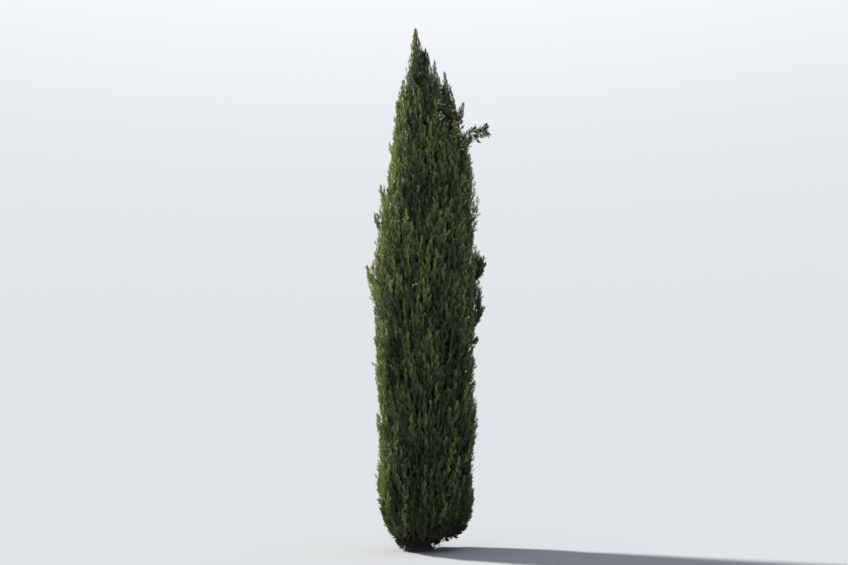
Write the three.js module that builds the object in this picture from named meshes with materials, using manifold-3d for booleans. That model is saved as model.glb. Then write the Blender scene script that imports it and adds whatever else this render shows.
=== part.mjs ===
// Italian cypress: a narrow evergreen column 8.2 m tall, as a trunk, a few boughs and masses of foliage.
// Lengths are millimetres. Z is up, X runs to the right and Y away from the viewer, and the origin is
// the middle of the flat cut under the trunk. A bearing is in degrees, counted from +X towards +Y.
import * as THREE from "three";
import { mergeVertices } from "three/addons/utils/BufferGeometryUtils.js";
import Module from "manifold-3d";

// Trunk: its radius from the cut to the tip, how far the tip stands to the right of the foot, its bow
// to the right, and the five buttresses of the root flare
const TREE_TOP = 8200;
const TRUNK_TIP = 7900;
const TRUNK_SIDES = 15;
const TRUNK_LEAN = 140;
const TRUNK_BOW = 110;
const BUTTRESSES = 5;
const TRUNK = [
  { height: 0, radius: 225, buttress: 0.12 },
  { height: 60, radius: 186, buttress: 0.09 },
  { height: 160, radius: 156, buttress: 0.06 },
  { height: 320, radius: 138, buttress: 0.03 },
  { height: 700, radius: 122, buttress: 0 },
  { height: 1500, radius: 110, buttress: 0 },
  { height: 2800, radius: 94, buttress: 0 },
  { height: 4100, radius: 76, buttress: 0 },
  { height: 5400, radius: 54, buttress: 0 },
  { height: 6500, radius: 32, buttress: 0 },
  { height: 7300, radius: 16, buttress: 0 },
  { height: 7850, radius: 7, buttress: 0 },
];

// Crown envelope: half its width, and how far its middle lies to the right of the origin
const CROWN = [
  { height: 0, halfWidth: 600, middle: 125 },
  { height: 450, halfWidth: 665, middle: 135 },
  { height: 1000, halfWidth: 770, middle: 125 },
  { height: 2100, halfWidth: 755, middle: 165 },
  { height: 3300, halfWidth: 785, middle: 170 },
  { height: 4300, halfWidth: 800, middle: 200 },
  { height: 5100, halfWidth: 745, middle: 270 },
  { height: 5800, halfWidth: 645, middle: 345 },
  { height: 6400, halfWidth: 585, middle: 315 },
  { height: 6900, halfWidth: 425, middle: 270 },
  { height: 7400, halfWidth: 330, middle: 255 },
  { height: 7800, halfWidth: 150, middle: 190 },
  { height: 8200, halfWidth: 20, middle: 140 },
];
const LUMP_SHARE = 0.05;
const LUMP_SPACING = 760;

// Tiers of masses. Levels are heights at the crown's surface. The edge between two tiers is a zigzag
// whose points are POINT_HEIGHT tall, and it drops by INWARD_DROP on its way in to the trunk.
const CROWN_FOOT = 420;
const CROWN_SEAM = 6350;
const BODY_TIERS = 6;
const SECTORS = 6;
const POINT_HEIGHT = 600;
const INWARD_DROP = 500;
const TIER_HEIGHT = (CROWN_SEAM - CROWN_FOOT) / BODY_TIERS;
const HALF_SECTOR = 180 / SECTORS;
const TOP_CELL_LEVEL = 7050;

// Cores: their share of the half sector, and shares of the crown's radius outside, inside and at the ends
const CORE_WIDTH = 0.93;
const CORE_OUTER = 0.86;
const CORE_INNER = 0.4;
const CORE_END = 0.74;
const CORE_MARGIN = 45;
const CORE_JITTER = 0.03;
// The corners of a core's ring: how far out, from 0 inside to 1 outside, and the turn to either side
const CORE_CORNERS = [
  { out: 1, turn: 1 },
  { out: 1.06, turn: 0 },
  { out: 1, turn: -1 },
  { out: 0, turn: -0.8 },
  { out: 0, turn: 0 },
  { out: 0, turn: 0.8 },
];

// Sprays: each is a toothed blade that stands for a plume of scale-leaved shoots
const BODY_SPRAYS = 5;
const TOP_SPRAYS = 2;
const SPRAY_LENGTH = 470;
const SPRAY_WIDTH = 190;
const SPRAY_THICKNESS = 36;
const SPRAY_ROOT = 0.8;
const SPRAY_REACH = 1.02;
const SPRAY_REACH_VARIETY = 0.06;
const SPRAY_SIZE_VARIETY = 0.3;
const SPRAY_LEAN = 7;
const SPRAY_SPREAD = 0.84;
const SPRAY_MARGIN = 14;
const SPRAY_OUTLINE = [
  { along: 0, across: 0 },
  { along: 0.5, across: 0.5 },
  { along: 0.62, across: 0.2 },
  { along: 1, across: 0 },
  { along: 0.72, across: -0.18 },
  { along: 0.6, across: -0.5 },
];
const SPRAY_BELLY = 0.45;
const GOLDEN_ANGLE = 137.508;
const ACROSS_STEP = 0.7548776662;
const ALONG_STEP = 0.569840291;

// Limbs: sides of their sections, the rise of a stem over its run, and its girth from the trunk's
const BOUGH_SIDES = 6;
const STEM_SIDES = 5;
const TWIG_SIDES = 3;
const STEM_SLOPE = 0.9;
const STEM_GIRTH = 3;
const STEM_GIRTH_SHARE = 0.17;
const STEM_END_SHARE = 0.52;
const LOWEST_STEM = 150;
const BOUGH_SAG = 0.06;

// Gaps between a limb and what meets it, and between the sprays of two masses
const CLEARANCE = 0.3;
const SPACING = 4;
const WELD = 1e-4;

// Ball-shaped cones, one fused on a spray of every other mass from this tier up
const CONE_RADIUS = 20;
const CONE_TIER = 3;
const CONE_ALONG = 0.66;

// Boughs that come out at the crown's surface, from a height on the trunk to a share of the radius
const BOUGHS = [
  { name: "bough_left", bearing: 180, from: 3240, share: 0.98, to: 3950, radius: 15, tip: 8 },
  { name: "bough_right", bearing: 0, from: 3330, share: 0.97, to: 4080, radius: 15, tip: 9 },
  { name: "bough_back", bearing: 90, from: 4230, share: 0.98, to: 4930, radius: 14, tip: 8 },
  { name: "bough_sprig", bearing: 0, from: 5560, share: 1.02, to: 6395, radius: 15, tip: 8 },
];

// Plumes that stand off the crown on those boughs: the tip of each shoot
const PLUMES = [
  { name: "plume_left", bough: 0, shoots: [[-722, -10, 4330], [-690, 40, 4190]] },
  { name: "plume_right", bough: 1, shoots: [[1135, 25, 4330], [1155, -15, 4440], [1075, 60, 4400]] },
  { name: "plume_back", bough: 2, shoots: [[150, 850, 5410], [230, 835, 5290]] },
];
const PLUME_RADIUS = 42;
const PLUME_STEM = { length: 60, radius: 8, tip: 7 };
const PLUME_SPRAYS = 2;

// The sprig that reaches out sideways near the top, as the corners of its twig
const SPRIG = [[1030, -12, 6415], [1125, 8, 6432], [1205, 0, 6460]];
const SPRIG_TWIG = { radius: 8, tip: 3 };
const SPRIG_SPRAYS = 11;
const SPRIG_SPRAY_LENGTH = 115;
const SPRIG_BARE = 0.2;

// Low shoots at the foot, on the left: the bearing of each stem, and its height on the trunk
const FOOT_SHOOTS = [150, 200, 250];
const FOOT_STEM_HEIGHT = 62;
const FOOT_STEM = { radius: 14, tip: 10 };
const FOOT_SHOOT_RADIUS = 246;
const FOOT_SHOOT_LENGTH = 165;
const FOOT_SHOOT_WIDTH = 80;
const FOOT_SHOOT_TURNS = [-12, 9];

// Spires of the top: the sector of the last tier that carries each, its tip, and its radius low down
const SPIRES = [
  { sector: 0, tip: [582, -25, 7480], radius: 87 },
  { sector: 0, tip: [912, 10, 6990], radius: 90 },
  { sector: 0, tip: [748, 70, 6970], radius: 66 },
  { sector: 1, tip: [545, 215, 7210], radius: 85 },
  { sector: 1, tip: [640, 300, 6890], radius: 73 },
  { sector: 2, tip: [150, 250, 7300], radius: 85 },
  { sector: 2, tip: [30, 345, 6940], radius: 73 },
  { sector: 3, tip: [-62, 25, 7400], radius: 73 },
  { sector: 3, tip: [-128, -60, 6940], radius: 71 },
  { sector: 4, tip: [42, -190, 7530], radius: 85 },
  { sector: 4, tip: [110, -350, 7000], radius: 76 },
  { sector: 5, tip: [430, -250, 7270], radius: 87 },
  { sector: 5, tip: [610, -255, 6920], radius: 73 },
];
const SPIRE_SPRAYS = 2;
const SPIRE_SIDES = 6;
const SPIRE_FOOT_LEVEL = 6640;
const SPIRE_FOOT_SHARES = [0.66, 0.8];
const SPIRE_AIM_HEIGHT = 6850;
// The girth of a spire along its height
const SPIRE_BANDS = [
  { along: 0.04, girth: 0.8 },
  { along: 0.34, girth: 1 },
  { along: 0.7, girth: 0.64 },
];

// Inner spires beside the leader, each from its own stem on the trunk
const INNER_SPIRES = [
  { name: "spire_front", foot: [335, -118, 6520], tip: [322, -62, 7810], radius: 88 },
  { name: "spire_right", foot: [405, 85, 6520], tip: [442, 45, 7720], radius: 88 },
  { name: "spire_back", foot: [250, 172, 6540], tip: [262, 112, 7540], radius: 66 },
];
const INNER_SPIRE_SPRAYS = 4;
const LEADER_FOOT = 6480;
const LEADER_RADIUS = 104;
const LEADER_SPRAYS = 6;

// The first seed of each kind of mass
const SEEDS = { tiers: 0, plumes: 100, sprig: 200, leader: 300, innerSpires: 400, footShoots: 500 };

const BARK = new THREE.MeshStandardMaterial({ color: 0x5f5347, roughness: 0.95, metalness: 0 });
const GREENS = [0x35482a, 0x3f5530, 0x2f4126, 0x4a6034].map(
  (color) => new THREE.MeshStandardMaterial({ color, roughness: 0.85, metalness: 0 }),
);

const wasm = await Module();
wasm.setup();

// The value of a profile at a height, straight between its stations.
function profileAt(profile, height, key) {
  const next = profile.findIndex((station) => station.height >= height);
  if (next === 0) return profile[0][key];
  if (next < 0) return profile[profile.length - 1][key];
  const low = profile[next - 1];
  const high = profile[next];
  return THREE.MathUtils.mapLinear(height, low.height, high.height, low[key], high[key]);
}

// The middle of the trunk at a height.
function trunkMiddle(height) {
  const share = height / TREE_TOP;
  return new THREE.Vector3(TRUNK_LEAN * share + TRUNK_BOW * Math.sin(Math.PI * share), 0, height);
}

// The crown's radius on a bearing: lumpy in front and behind, and as measured at the two sides.
function crownRadius(bearing, height) {
  const turn = THREE.MathUtils.degToRad(bearing);
  const lump = LUMP_SHARE * Math.sin(turn) ** 2 * Math.sin(3 * turn + height / LUMP_SPACING);
  return profileAt(CROWN, height, "halfWidth") * (1 + lump);
}

// A point at a share of the crown's radius.
function crownPoint(share, bearing, height) {
  const turn = THREE.MathUtils.degToRad(bearing);
  const radius = share * crownRadius(bearing, height);
  const middle = profileAt(CROWN, height, "middle");
  return new THREE.Vector3(middle + radius * Math.cos(turn), radius * Math.sin(turn), height);
}

// A point at a share of the radius and at a level, which is lower inside than at the surface.
function levelPoint(share, bearing, level) {
  return crownPoint(share, bearing, level + INWARD_DROP * (share - 1));
}

// Where a point lies in the crown: its bearing, its share of the radius and its level.
function crownPlace(point) {
  const across = point.x - profileAt(CROWN, point.z, "middle");
  const bearing = THREE.MathUtils.radToDeg(Math.atan2(point.y, across));
  const radius = Math.hypot(across, point.y);
  const share = radius / crownRadius(bearing, point.z);
  return { bearing, radius, share, level: point.z - INWARD_DROP * (share - 1) };
}

// Seeded numbers from 0 to 1, by a linear congruential rule.
function seeded(seed) {
  let state = Math.imul(seed + 1, 2654435761) >>> 0;
  return () => {
    state = (Math.imul(state, 1664525) + 1013904223) >>> 0;
    return state / 4294967296;
  };
}

function fraction(value) {
  return value - Math.floor(value);
}

// A closed geometry as a solid with its faces pointing out.
function solidFrom(geometry) {
  geometry.deleteAttribute("normal");
  geometry.deleteAttribute("uv");
  const merged = mergeVertices(geometry, WELD);
  const corners = merged.index.array;
  const kept = [];
  for (let start = 0; start < corners.length; start += 3) {
    const [a, b, c] = corners.slice(start, start + 3);
    if (a !== b && b !== c && c !== a) kept.push([a, b, c]);
  }
  const vertProperties = merged.getAttribute("position").array;
  const wrap = (faces) => {
    const triVerts = new Uint32Array(faces.flat());
    return new wasm.Manifold(new wasm.Mesh({ numProp: 3, vertProperties, triVerts }));
  };
  const solid = wrap(kept);
  return solid.volume() > 0 ? solid : wrap(kept.map(([a, b, c]) => [a, c, b]));
}

// A closed skin of rings: place(ring, side) gives each corner, and the first and last rings are points.
function skin(rings, sides, place) {
  const last = rings + 1;
  const profile = [];
  for (let ring = 0; ring <= last; ring += 1) {
    profile.push(new THREE.Vector2(ring === 0 || ring === last ? 0 : 1, ring));
  }
  const geometry = new THREE.LatheGeometry(profile, sides);
  const corners = geometry.getAttribute("position");
  for (let index = 0; index < corners.count; index += 1) {
    const ring = index % profile.length;
    const side = Math.floor(index / profile.length) % sides;
    corners.setXYZ(index, ...place(ring, side));
  }
  return solidFrom(geometry);
}

// Two directions square to a line and to each other, rolled round it.
function squareTo(direction, roll = 0) {
  const isSteep = Math.abs(direction.z) > 0.8;
  const helper = isSteep ? new THREE.Vector3(0, 1, 0) : new THREE.Vector3(0, 0, 1);
  const first = new THREE.Vector3().crossVectors(direction, helper).normalize();
  first.applyAxisAngle(direction, roll);
  const second = new THREE.Vector3().crossVectors(direction, first).normalize();
  return [first, second];
}

// A limb of round section along some points, tapering from one radius to another.
function limb(path, rootRadius, tipRadius, sides, grow = 0) {
  const run = path.at(-1).clone().sub(path[0]).normalize();
  const [first, second] = squareTo(run);
  const last = path.length + 1;
  return skin(path.length, sides, (ring, side) => {
    const step = Math.min(Math.max(ring - 1, 0), path.length - 1);
    const point = path[step].clone();
    if (ring === 0) return point.addScaledVector(run, -grow);
    if (ring === last) return point.addScaledVector(run, grow);
    const radius = THREE.MathUtils.lerp(rootRadius, tipRadius, step / (path.length - 1)) + grow;
    const turn = (2 * Math.PI * side) / sides;
    const end = step === 0 ? -grow : step === path.length - 1 ? grow : 0;
    point.addScaledVector(run, end);
    point.addScaledVector(first, radius * Math.cos(turn));
    return point.addScaledVector(second, radius * Math.sin(turn));
  });
}

// The corners of a spray from its root to its tip: the two bellies first, then the toothed outline.
function sprayCorners(root, tip, width, thickness, roll) {
  const run = tip.clone().sub(root);
  const [across, through] = squareTo(run.clone().normalize(), roll);
  const belly = root.clone().addScaledVector(run, SPRAY_BELLY);
  const outline = SPRAY_OUTLINE.map((corner) =>
    root.clone().addScaledVector(run, corner.along).addScaledVector(across, corner.across * width),
  );
  return [
    belly.clone().addScaledVector(through, -thickness / 2),
    belly.clone().addScaledVector(through, thickness / 2),
    ...outline,
  ];
}

function sprayFrom([under, over, ...outline]) {
  return skin(1, outline.length, (ring, side) => [under, outline[side], over][ring]);
}

// The trunk, grown by some millimetres where it serves to cut its neighbours clear.
function trunkSolid(grow = 0) {
  return skin(TRUNK.length, TRUNK_SIDES, (ring, side) => {
    if (ring === 0) return new THREE.Vector3(0, 0, -grow);
    if (ring > TRUNK.length) return trunkMiddle(TRUNK_TIP + 4 * grow);
    const { height, radius, buttress } = TRUNK[ring - 1];
    const turn = (2 * Math.PI * side) / TRUNK_SIDES;
    const reach = radius * (1 + buttress * Math.cos(BUTTRESSES * turn)) + grow;
    const drop = ring === 1 ? grow : 0;
    const out = new THREE.Vector3(reach * Math.cos(turn), reach * Math.sin(turn), -drop);
    return trunkMiddle(height).add(out);
  });
}

// The path of a bough, from inside the trunk to its tip.
function boughPath({ bearing, from, share, to }) {
  const start = trunkMiddle(from);
  const end = crownPoint(share, bearing, to);
  const bend = (to - from) * BOUGH_SAG;
  return [0, 0.35, 0.7, 1].map((step) => {
    const point = start.clone().lerp(end, step);
    point.z -= bend * 4 * step * (1 - step);
    return point;
  });
}

// The spray-bearing space of one mass: a hexagon on the crown's surface that runs in to the trunk.
function makeCell(tier, sector) {
  const low = CROWN_FOOT + tier * TIER_HEIGHT;
  const isTop = tier === BODY_TIERS;
  return {
    tier,
    sector,
    bearing: (sector + (tier % 2) / 2) * 2 * HALF_SECTOR,
    low,
    high: isTop ? TOP_CELL_LEVEL : low + TIER_HEIGHT,
    lowPoint: tier === 0 ? 0 : POINT_HEIGHT / 2,
    highPoint: isTop ? 0 : POINT_HEIGHT / 2,
  };
}

// The lowest and highest level of a cell at a turn, which is 0 in its middle and 1 at its sides.
function cellLevels(cell, turn) {
  const zigzag = 2 * Math.abs(turn) - 1;
  return [cell.low + cell.lowPoint * zigzag, cell.high - cell.highPoint * zigzag];
}

function turnIn(cell, bearing) {
  const offset = THREE.MathUtils.euclideanModulo(bearing - cell.bearing + 180, 360) - 180;
  return offset / HALF_SECTOR;
}

function isInCell(cell, point) {
  const { bearing, radius, share, level } = crownPlace(point);
  const turn = turnIn(cell, bearing);
  const side = (1 - Math.abs(turn)) * THREE.MathUtils.degToRad(HALF_SECTOR) * radius;
  const [low, high] = cellLevels(cell, turn);
  const isBetween = level > low + SPRAY_MARGIN && level < high - SPRAY_MARGIN;
  return isBetween && side > SPRAY_MARGIN && share > CORE_INNER && point.z > SPRAY_MARGIN;
}

// The rings of a core, each a level, a share of the full width, and shares of the radius out and in.
function coreRings({ tier, low, high, highPoint }) {
  const full = low + POINT_HEIGHT / 2;
  const foot = { level: low, width: 0.5, outer: 0.82, inner: 0.56 };
  const flatFoot = { level: low + CORE_MARGIN, width: 0.85, outer: 0.82, inner: CORE_INNER };
  if (tier === BODY_TIERS) {
    return [
      foot,
      { level: full, width: 1, outer: CORE_OUTER, inner: 0.5 },
      { level: high - 260, width: 0.5, outer: 0.82, inner: 0.55 },
      { level: high - 90, width: 0.3, outer: 0.8, inner: 0.6 },
    ];
  }
  return [
    tier === 0 ? flatFoot : foot,
    { level: full, width: 1, outer: CORE_OUTER, inner: CORE_INNER },
    { level: high - highPoint, width: 1, outer: CORE_OUTER, inner: CORE_INNER },
    { ...foot, level: high },
  ];
}

// The dense inside of a mass, smaller than its cell.
function coreSolid(cell, random) {
  const rings = coreRings(cell);
  const [lowest, highest] = cellLevels(cell, 0);
  const jitter = rings.map(() => CORE_CORNERS.map(() => CORE_JITTER * (random() - 0.5)));
  return skin(rings.length, CORE_CORNERS.length, (ring, side) => {
    if (ring === 0) return levelPoint(CORE_END, cell.bearing, lowest + CORE_MARGIN);
    if (ring > rings.length) return levelPoint(CORE_END, cell.bearing, highest - CORE_MARGIN);
    const { level, width, outer, inner } = rings[ring - 1];
    const { out, turn } = CORE_CORNERS[side];
    const share = THREE.MathUtils.lerp(inner, outer, out) + jitter[ring - 1][side];
    return levelPoint(share, cell.bearing + turn * width * CORE_WIDTH * HALF_SECTOR, level);
  });
}

// Whether a solid keeps its distance from all its neighbours.
function isClear(solid, neighbours) {
  return neighbours.every((other) => solid.minGap(other, SPACING) >= SPACING);
}

// A stem from inside the trunk up to a point, rising as it goes out.
function stemTo(point) {
  const run = Math.hypot(point.x - trunkMiddle(point.z).x, point.y);
  const start = trunkMiddle(Math.max(point.z - STEM_SLOPE * run, LOWEST_STEM));
  const girth = STEM_GIRTH + STEM_GIRTH_SHARE * profileAt(TRUNK, start.z, "radius");
  return limb([start, point], girth, 0.7 * girth, STEM_SIDES);
}

// A small round cone fused on a spray.
function coneOn(root, tip) {
  const ball = new THREE.OctahedronGeometry(CONE_RADIUS, 0);
  ball.translate(...root.clone().lerp(tip, CONE_ALONG));
  return solidFrom(ball);
}

// The sprays that stand out of a core, on an even lattice over the cell's surface.
function cellSprays(cell, random, neighbours) {
  const sprays = [];
  const cones = [];
  const wanted = cell.tier === BODY_TIERS ? TOP_SPRAYS : BODY_SPRAYS;
  const hasCone = cell.tier >= CONE_TIER && (cell.tier + cell.sector) % 2 === 0;
  for (let step = 0; sprays.length < wanted && step < 4 * wanted; step += 1) {
    const turn = SPRAY_SPREAD * (2 * fraction(0.5 + step * ACROSS_STEP) - 1);
    const along = fraction(0.5 + step * ALONG_STEP);
    const length = SPRAY_LENGTH * (1 + SPRAY_SIZE_VARIETY * (random() - 0.5));
    const [low, high] = cellLevels(cell, turn);
    const tipLevel = THREE.MathUtils.lerp(low + length + 2 * SPRAY_MARGIN, high - 2 * SPRAY_MARGIN, along);
    const bearing = cell.bearing + turn * HALF_SECTOR;
    const lean = SPRAY_LEAN * (random() - 0.5);
    const reach = SPRAY_REACH + SPRAY_REACH_VARIETY * (random() - 0.5);
    const root = levelPoint(SPRAY_ROOT, bearing - lean, tipLevel - length);
    const tip = levelPoint(reach, bearing + lean, tipLevel);
    const width = SPRAY_WIDTH * (1 + SPRAY_SIZE_VARIETY * (random() - 0.5));
    const corners = sprayCorners(root, tip, width, SPRAY_THICKNESS, Math.PI * random());
    if (!corners.every((corner) => isInCell(cell, corner))) continue;
    const spray = sprayFrom(corners);
    if (!isClear(spray, neighbours)) continue;
    sprays.push(spray);
    if (hasCone && cones.length === 0) cones.push(coneOn(root, tip));
  }
  return [...sprays, ...cones];
}

// A slender spire from foot to tip, widest a third of the way up.
function spireSolid(foot, tip, radius) {
  return skin(SPIRE_BANDS.length, SPIRE_SIDES, (ring, side) => {
    if (ring === 0) return foot;
    if (ring > SPIRE_BANDS.length) return tip;
    const { along, girth } = SPIRE_BANDS[ring - 1];
    const turn = (2 * Math.PI * (side + ring / 2)) / SPIRE_SIDES;
    const point = foot.clone().lerp(tip, along);
    return point.add(new THREE.Vector3(Math.cos(turn), Math.sin(turn), 0).multiplyScalar(radius * girth));
  });
}

// Sprays up a spire, each a golden angle on from the last.
function spireSprays(foot, tip, radius, count, random, neighbours) {
  const height = tip.z - foot.z;
  const sprays = [];
  for (let step = 0; step < count; step += 1) {
    const along = 0.3 + (0.55 * (step + 0.5)) / count;
    const length = Math.min(240, 0.4 * height);
    const turn = THREE.MathUtils.degToRad(GOLDEN_ANGLE * step + 360 * random());
    const out = new THREE.Vector3(Math.cos(turn), Math.sin(turn), 0);
    const girth = radius * (1.25 - along);
    const root = foot.clone().lerp(tip, along).addScaledVector(out, 0.35 * girth);
    const end = foot.clone().lerp(tip, along + length / height).addScaledVector(out, 1.1 * girth);
    const spray = sprayFrom(sprayCorners(root, end, 0.34 * length, 16, Math.PI * random()));
    if (isClear(spray, neighbours)) sprays.push(spray);
  }
  return sprays;
}

// One closed body from several, cut clear of limbs, with loose scraps and sealed hollows dropped.
function joinMass(pieces, limbs) {
  const joined = wasm.Manifold.union(pieces);
  const cut = limbs.reduce((mass, other) => mass.subtract(other), joined);
  return cut.decompose().reduce((most, body) => (body.volume() > most.volume() ? body : most));
}

function vectorFrom([x, y, z]) {
  return new THREE.Vector3(x, y, z);
}

// A plume that stands off the crown: shoots from one short stem on a bough's tip.
function plumeMass({ bough, shoots }, limbs, random) {
  const [before, tip] = boughPath(BOUGHS[bough]).slice(-2);
  const run = tip.clone().sub(before).normalize();
  const collar = tip.clone().addScaledVector(run, PLUME_STEM.length);
  const pieces = [limb([tip, collar], PLUME_STEM.radius, PLUME_STEM.tip, STEM_SIDES)];
  shoots.map(vectorFrom).forEach((end) => {
    pieces.push(spireSolid(collar, end, PLUME_RADIUS));
    pieces.push(...spireSprays(collar, end, PLUME_RADIUS, PLUME_SPRAYS, random, []));
  });
  return joinMass(pieces, limbs);
}

// The sprig: small sprays all round a bare twig, open between them.
function sprigMass(limbs, random) {
  const path = [boughPath(BOUGHS.at(-1)).at(-1), ...SPRIG.map(vectorFrom)];
  const curve = new THREE.CatmullRomCurve3(path);
  const pieces = [limb(path, SPRIG_TWIG.radius, SPRIG_TWIG.tip, TWIG_SIDES)];
  for (let step = 1; step <= SPRIG_SPRAYS; step += 1) {
    const along = THREE.MathUtils.lerp(SPRIG_BARE, 1, step / SPRIG_SPRAYS);
    const turn = THREE.MathUtils.degToRad(GOLDEN_ANGLE * step);
    const out = new THREE.Vector3(0.45, 0.8 * Math.cos(turn), 0.35 + 0.75 * Math.sin(turn)).normalize();
    const length = SPRIG_SPRAY_LENGTH * (1 + SPRAY_SIZE_VARIETY * random());
    const root = curve.getPointAt(along).addScaledVector(out, -SPRIG_TWIG.tip);
    const tip = root.clone().addScaledVector(out, length);
    pieces.push(sprayFrom(sprayCorners(root, tip, 0.48 * length, 0.1 * length, Math.PI * random())));
  }
  return joinMass(pieces, limbs);
}

// The leader: a spire round the tip of the trunk, cut clear of it.
function leaderMass(limbs, random) {
  const foot = trunkMiddle(LEADER_FOOT);
  const tip = new THREE.Vector3(TRUNK_LEAN, 0, TREE_TOP);
  const sprays = spireSprays(foot, tip, LEADER_RADIUS, LEADER_SPRAYS, random, []);
  return joinMass([spireSolid(foot, tip, LEADER_RADIUS), ...sprays], limbs);
}

// A spire beside the leader, on a stem of its own.
function innerSpireMass({ foot, tip, radius }, limbs, random, neighbours) {
  const [low, high] = [vectorFrom(foot), vectorFrom(tip)];
  const stem = stemTo(low.clone().lerp(high, SPIRE_BANDS[0].along));
  const sprays = spireSprays(low, high, radius, INNER_SPIRE_SPRAYS, random, neighbours);
  return joinMass([spireSolid(low, high, radius), stem, ...sprays], limbs);
}

// An outer spire, from the core of its cell to its own tip, with its sprays.
function outerSpire(cell, { tip, radius }, random, neighbours) {
  const end = vectorFrom(tip);
  const place = crownPlace(end.clone().setZ(SPIRE_AIM_HEIGHT));
  const turn = THREE.MathUtils.clamp(turnIn(cell, place.bearing), -0.5, 0.5);
  const share = THREE.MathUtils.clamp(place.share, ...SPIRE_FOOT_SHARES);
  const foot = levelPoint(share, cell.bearing + turn * HALF_SECTOR, SPIRE_FOOT_LEVEL);
  const spire = spireSolid(foot, end, radius);
  if (!isClear(spire, neighbours)) throw new Error(`the spire at ${tip} is too near its neighbour`);
  return [spire, ...spireSprays(foot, end, radius, SPIRE_SPRAYS, random, neighbours)];
}

// One mass of a tier: a core on a stem, with sprays that stand out of it.
function tierMass(cell, limbs, random, neighbours) {
  const stemEnd = levelPoint(STEM_END_SHARE, cell.bearing, cell.low + POINT_HEIGHT / 2 + CORE_MARGIN);
  const pieces = [coreSolid(cell, random), stemTo(stemEnd)];
  if (cell.tier === BODY_TIERS) {
    const spires = SPIRES.filter((spire) => spire.sector === cell.sector);
    pieces.push(...spires.flatMap((spire) => outerSpire(cell, spire, random, neighbours)));
  }
  pieces.push(...cellSprays(cell, random, neighbours));
  return joinMass(pieces, limbs);
}

// Low shoots at the foot: sprays that rise from the end of one level stem.
function footShoots(bearing, limbs, random, neighbours) {
  const pointAt = (turn, radius, height) => {
    const angle = THREE.MathUtils.degToRad(bearing + turn);
    return new THREE.Vector3(radius * Math.cos(angle), radius * Math.sin(angle), height);
  };
  const start = new THREE.Vector3(0, 0, FOOT_STEM_HEIGHT);
  const stem = limb(
    [start, pointAt(0, FOOT_SHOOT_RADIUS, FOOT_STEM_HEIGHT)],
    FOOT_STEM.radius,
    FOOT_STEM.tip,
    STEM_SIDES,
  );
  const root = pointAt(0, FOOT_SHOOT_RADIUS - FOOT_STEM.tip, FOOT_STEM_HEIGHT - FOOT_STEM.tip / 2);
  const sprays = FOOT_SHOOT_TURNS.map((turn) => {
    const top = FOOT_STEM_HEIGHT + FOOT_SHOOT_LENGTH + turn / 2;
    const tip = pointAt(turn, FOOT_SHOOT_RADIUS + 2 * FOOT_STEM.tip, top);
    return sprayFrom(sprayCorners(root, tip, FOOT_SHOOT_WIDTH, 0.1 * FOOT_SHOOT_LENGTH, Math.PI * random()));
  });
  return joinMass([stem, ...sprays.filter((spray) => isClear(spray, neighbours))], limbs);
}

const cypress = new THREE.Group();
cypress.name = "italian_cypress";
const finished = [];

// Adds a finished solid to the tree as a named mesh.
function addPart(name, solid, material) {
  const { vertProperties, triVerts } = solid.getMesh();
  const geometry = new THREE.BufferGeometry();
  geometry.setAttribute("position", new THREE.BufferAttribute(vertProperties, 3));
  geometry.setIndex(new THREE.BufferAttribute(triVerts, 1));
  geometry.computeVertexNormals();
  const mesh = new THREE.Mesh(geometry, material);
  mesh.name = name;
  cypress.add(mesh);
  finished.push(solid);
}

// The limbs, and the same limbs grown by the clearance, which cut the masses clear
addPart("trunk", trunkSolid(), BARK);
const trunkCutter = trunkSolid(CLEARANCE);
const cutters = [trunkCutter];
BOUGHS.forEach((bough) => {
  const path = boughPath(bough);
  addPart(bough.name, limb(path, bough.radius, bough.tip, BOUGH_SIDES).subtract(trunkCutter), BARK);
  cutters.push(limb(path, bough.radius, bough.tip, BOUGH_SIDES, CLEARANCE));
});

PLUMES.forEach((plume, index) => {
  addPart(plume.name, plumeMass(plume, cutters, seeded(SEEDS.plumes + index)), GREENS[3]);
});
addPart("sprig", sprigMass(cutters, seeded(SEEDS.sprig)), GREENS[3]);
addPart("leader", leaderMass(cutters, seeded(SEEDS.leader)), GREENS[1]);
INNER_SPIRES.forEach((spire, index) => {
  const mass = innerSpireMass(spire, cutters, seeded(SEEDS.innerSpires + index), finished);
  addPart(spire.name, mass, GREENS[index]);
});

// The tiers, from the top down, so that each keeps clear of the finished one above
for (let tier = BODY_TIERS; tier >= 0; tier -= 1) {
  for (let sector = 0; sector < SECTORS; sector += 1) {
    const seed = SEEDS.tiers + 10 * tier + sector;
    const mass = tierMass(makeCell(tier, sector), cutters, seeded(seed), finished);
    addPart(`mass_${tier + 1}_${sector + 1}`, mass, GREENS[(tier + sector) % GREENS.length]);
  }
}

FOOT_SHOOTS.forEach((bearing, index) => {
  const shoots = footShoots(bearing, cutters, seeded(SEEDS.footShoots + index), finished);
  addPart(`foot_shoots_${index + 1}`, shoots, GREENS[2]);
});

export default cypress;
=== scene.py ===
import math

import bmesh
import bpy
import numpy as np
from bpy.props import FloatProperty, FloatVectorProperty, IntProperty, PointerProperty
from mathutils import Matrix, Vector, noise


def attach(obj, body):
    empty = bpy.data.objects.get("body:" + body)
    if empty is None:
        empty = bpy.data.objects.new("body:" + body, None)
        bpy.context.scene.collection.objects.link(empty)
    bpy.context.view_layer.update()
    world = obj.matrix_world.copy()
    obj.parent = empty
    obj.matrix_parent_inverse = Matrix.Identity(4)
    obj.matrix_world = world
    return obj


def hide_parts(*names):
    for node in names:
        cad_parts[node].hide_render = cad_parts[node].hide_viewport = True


bl_info = {
    "name": "Italian Cypress",
    "version": (1, 0, 0),
    "blender": (4, 5, 0),
    "location": "View3D > Sidebar > Cypress",
    "description": "Grows the bark, branches, foliage and cones of an Italian cypress on its packed limbs",
    "category": "Add Mesh",
}

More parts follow.
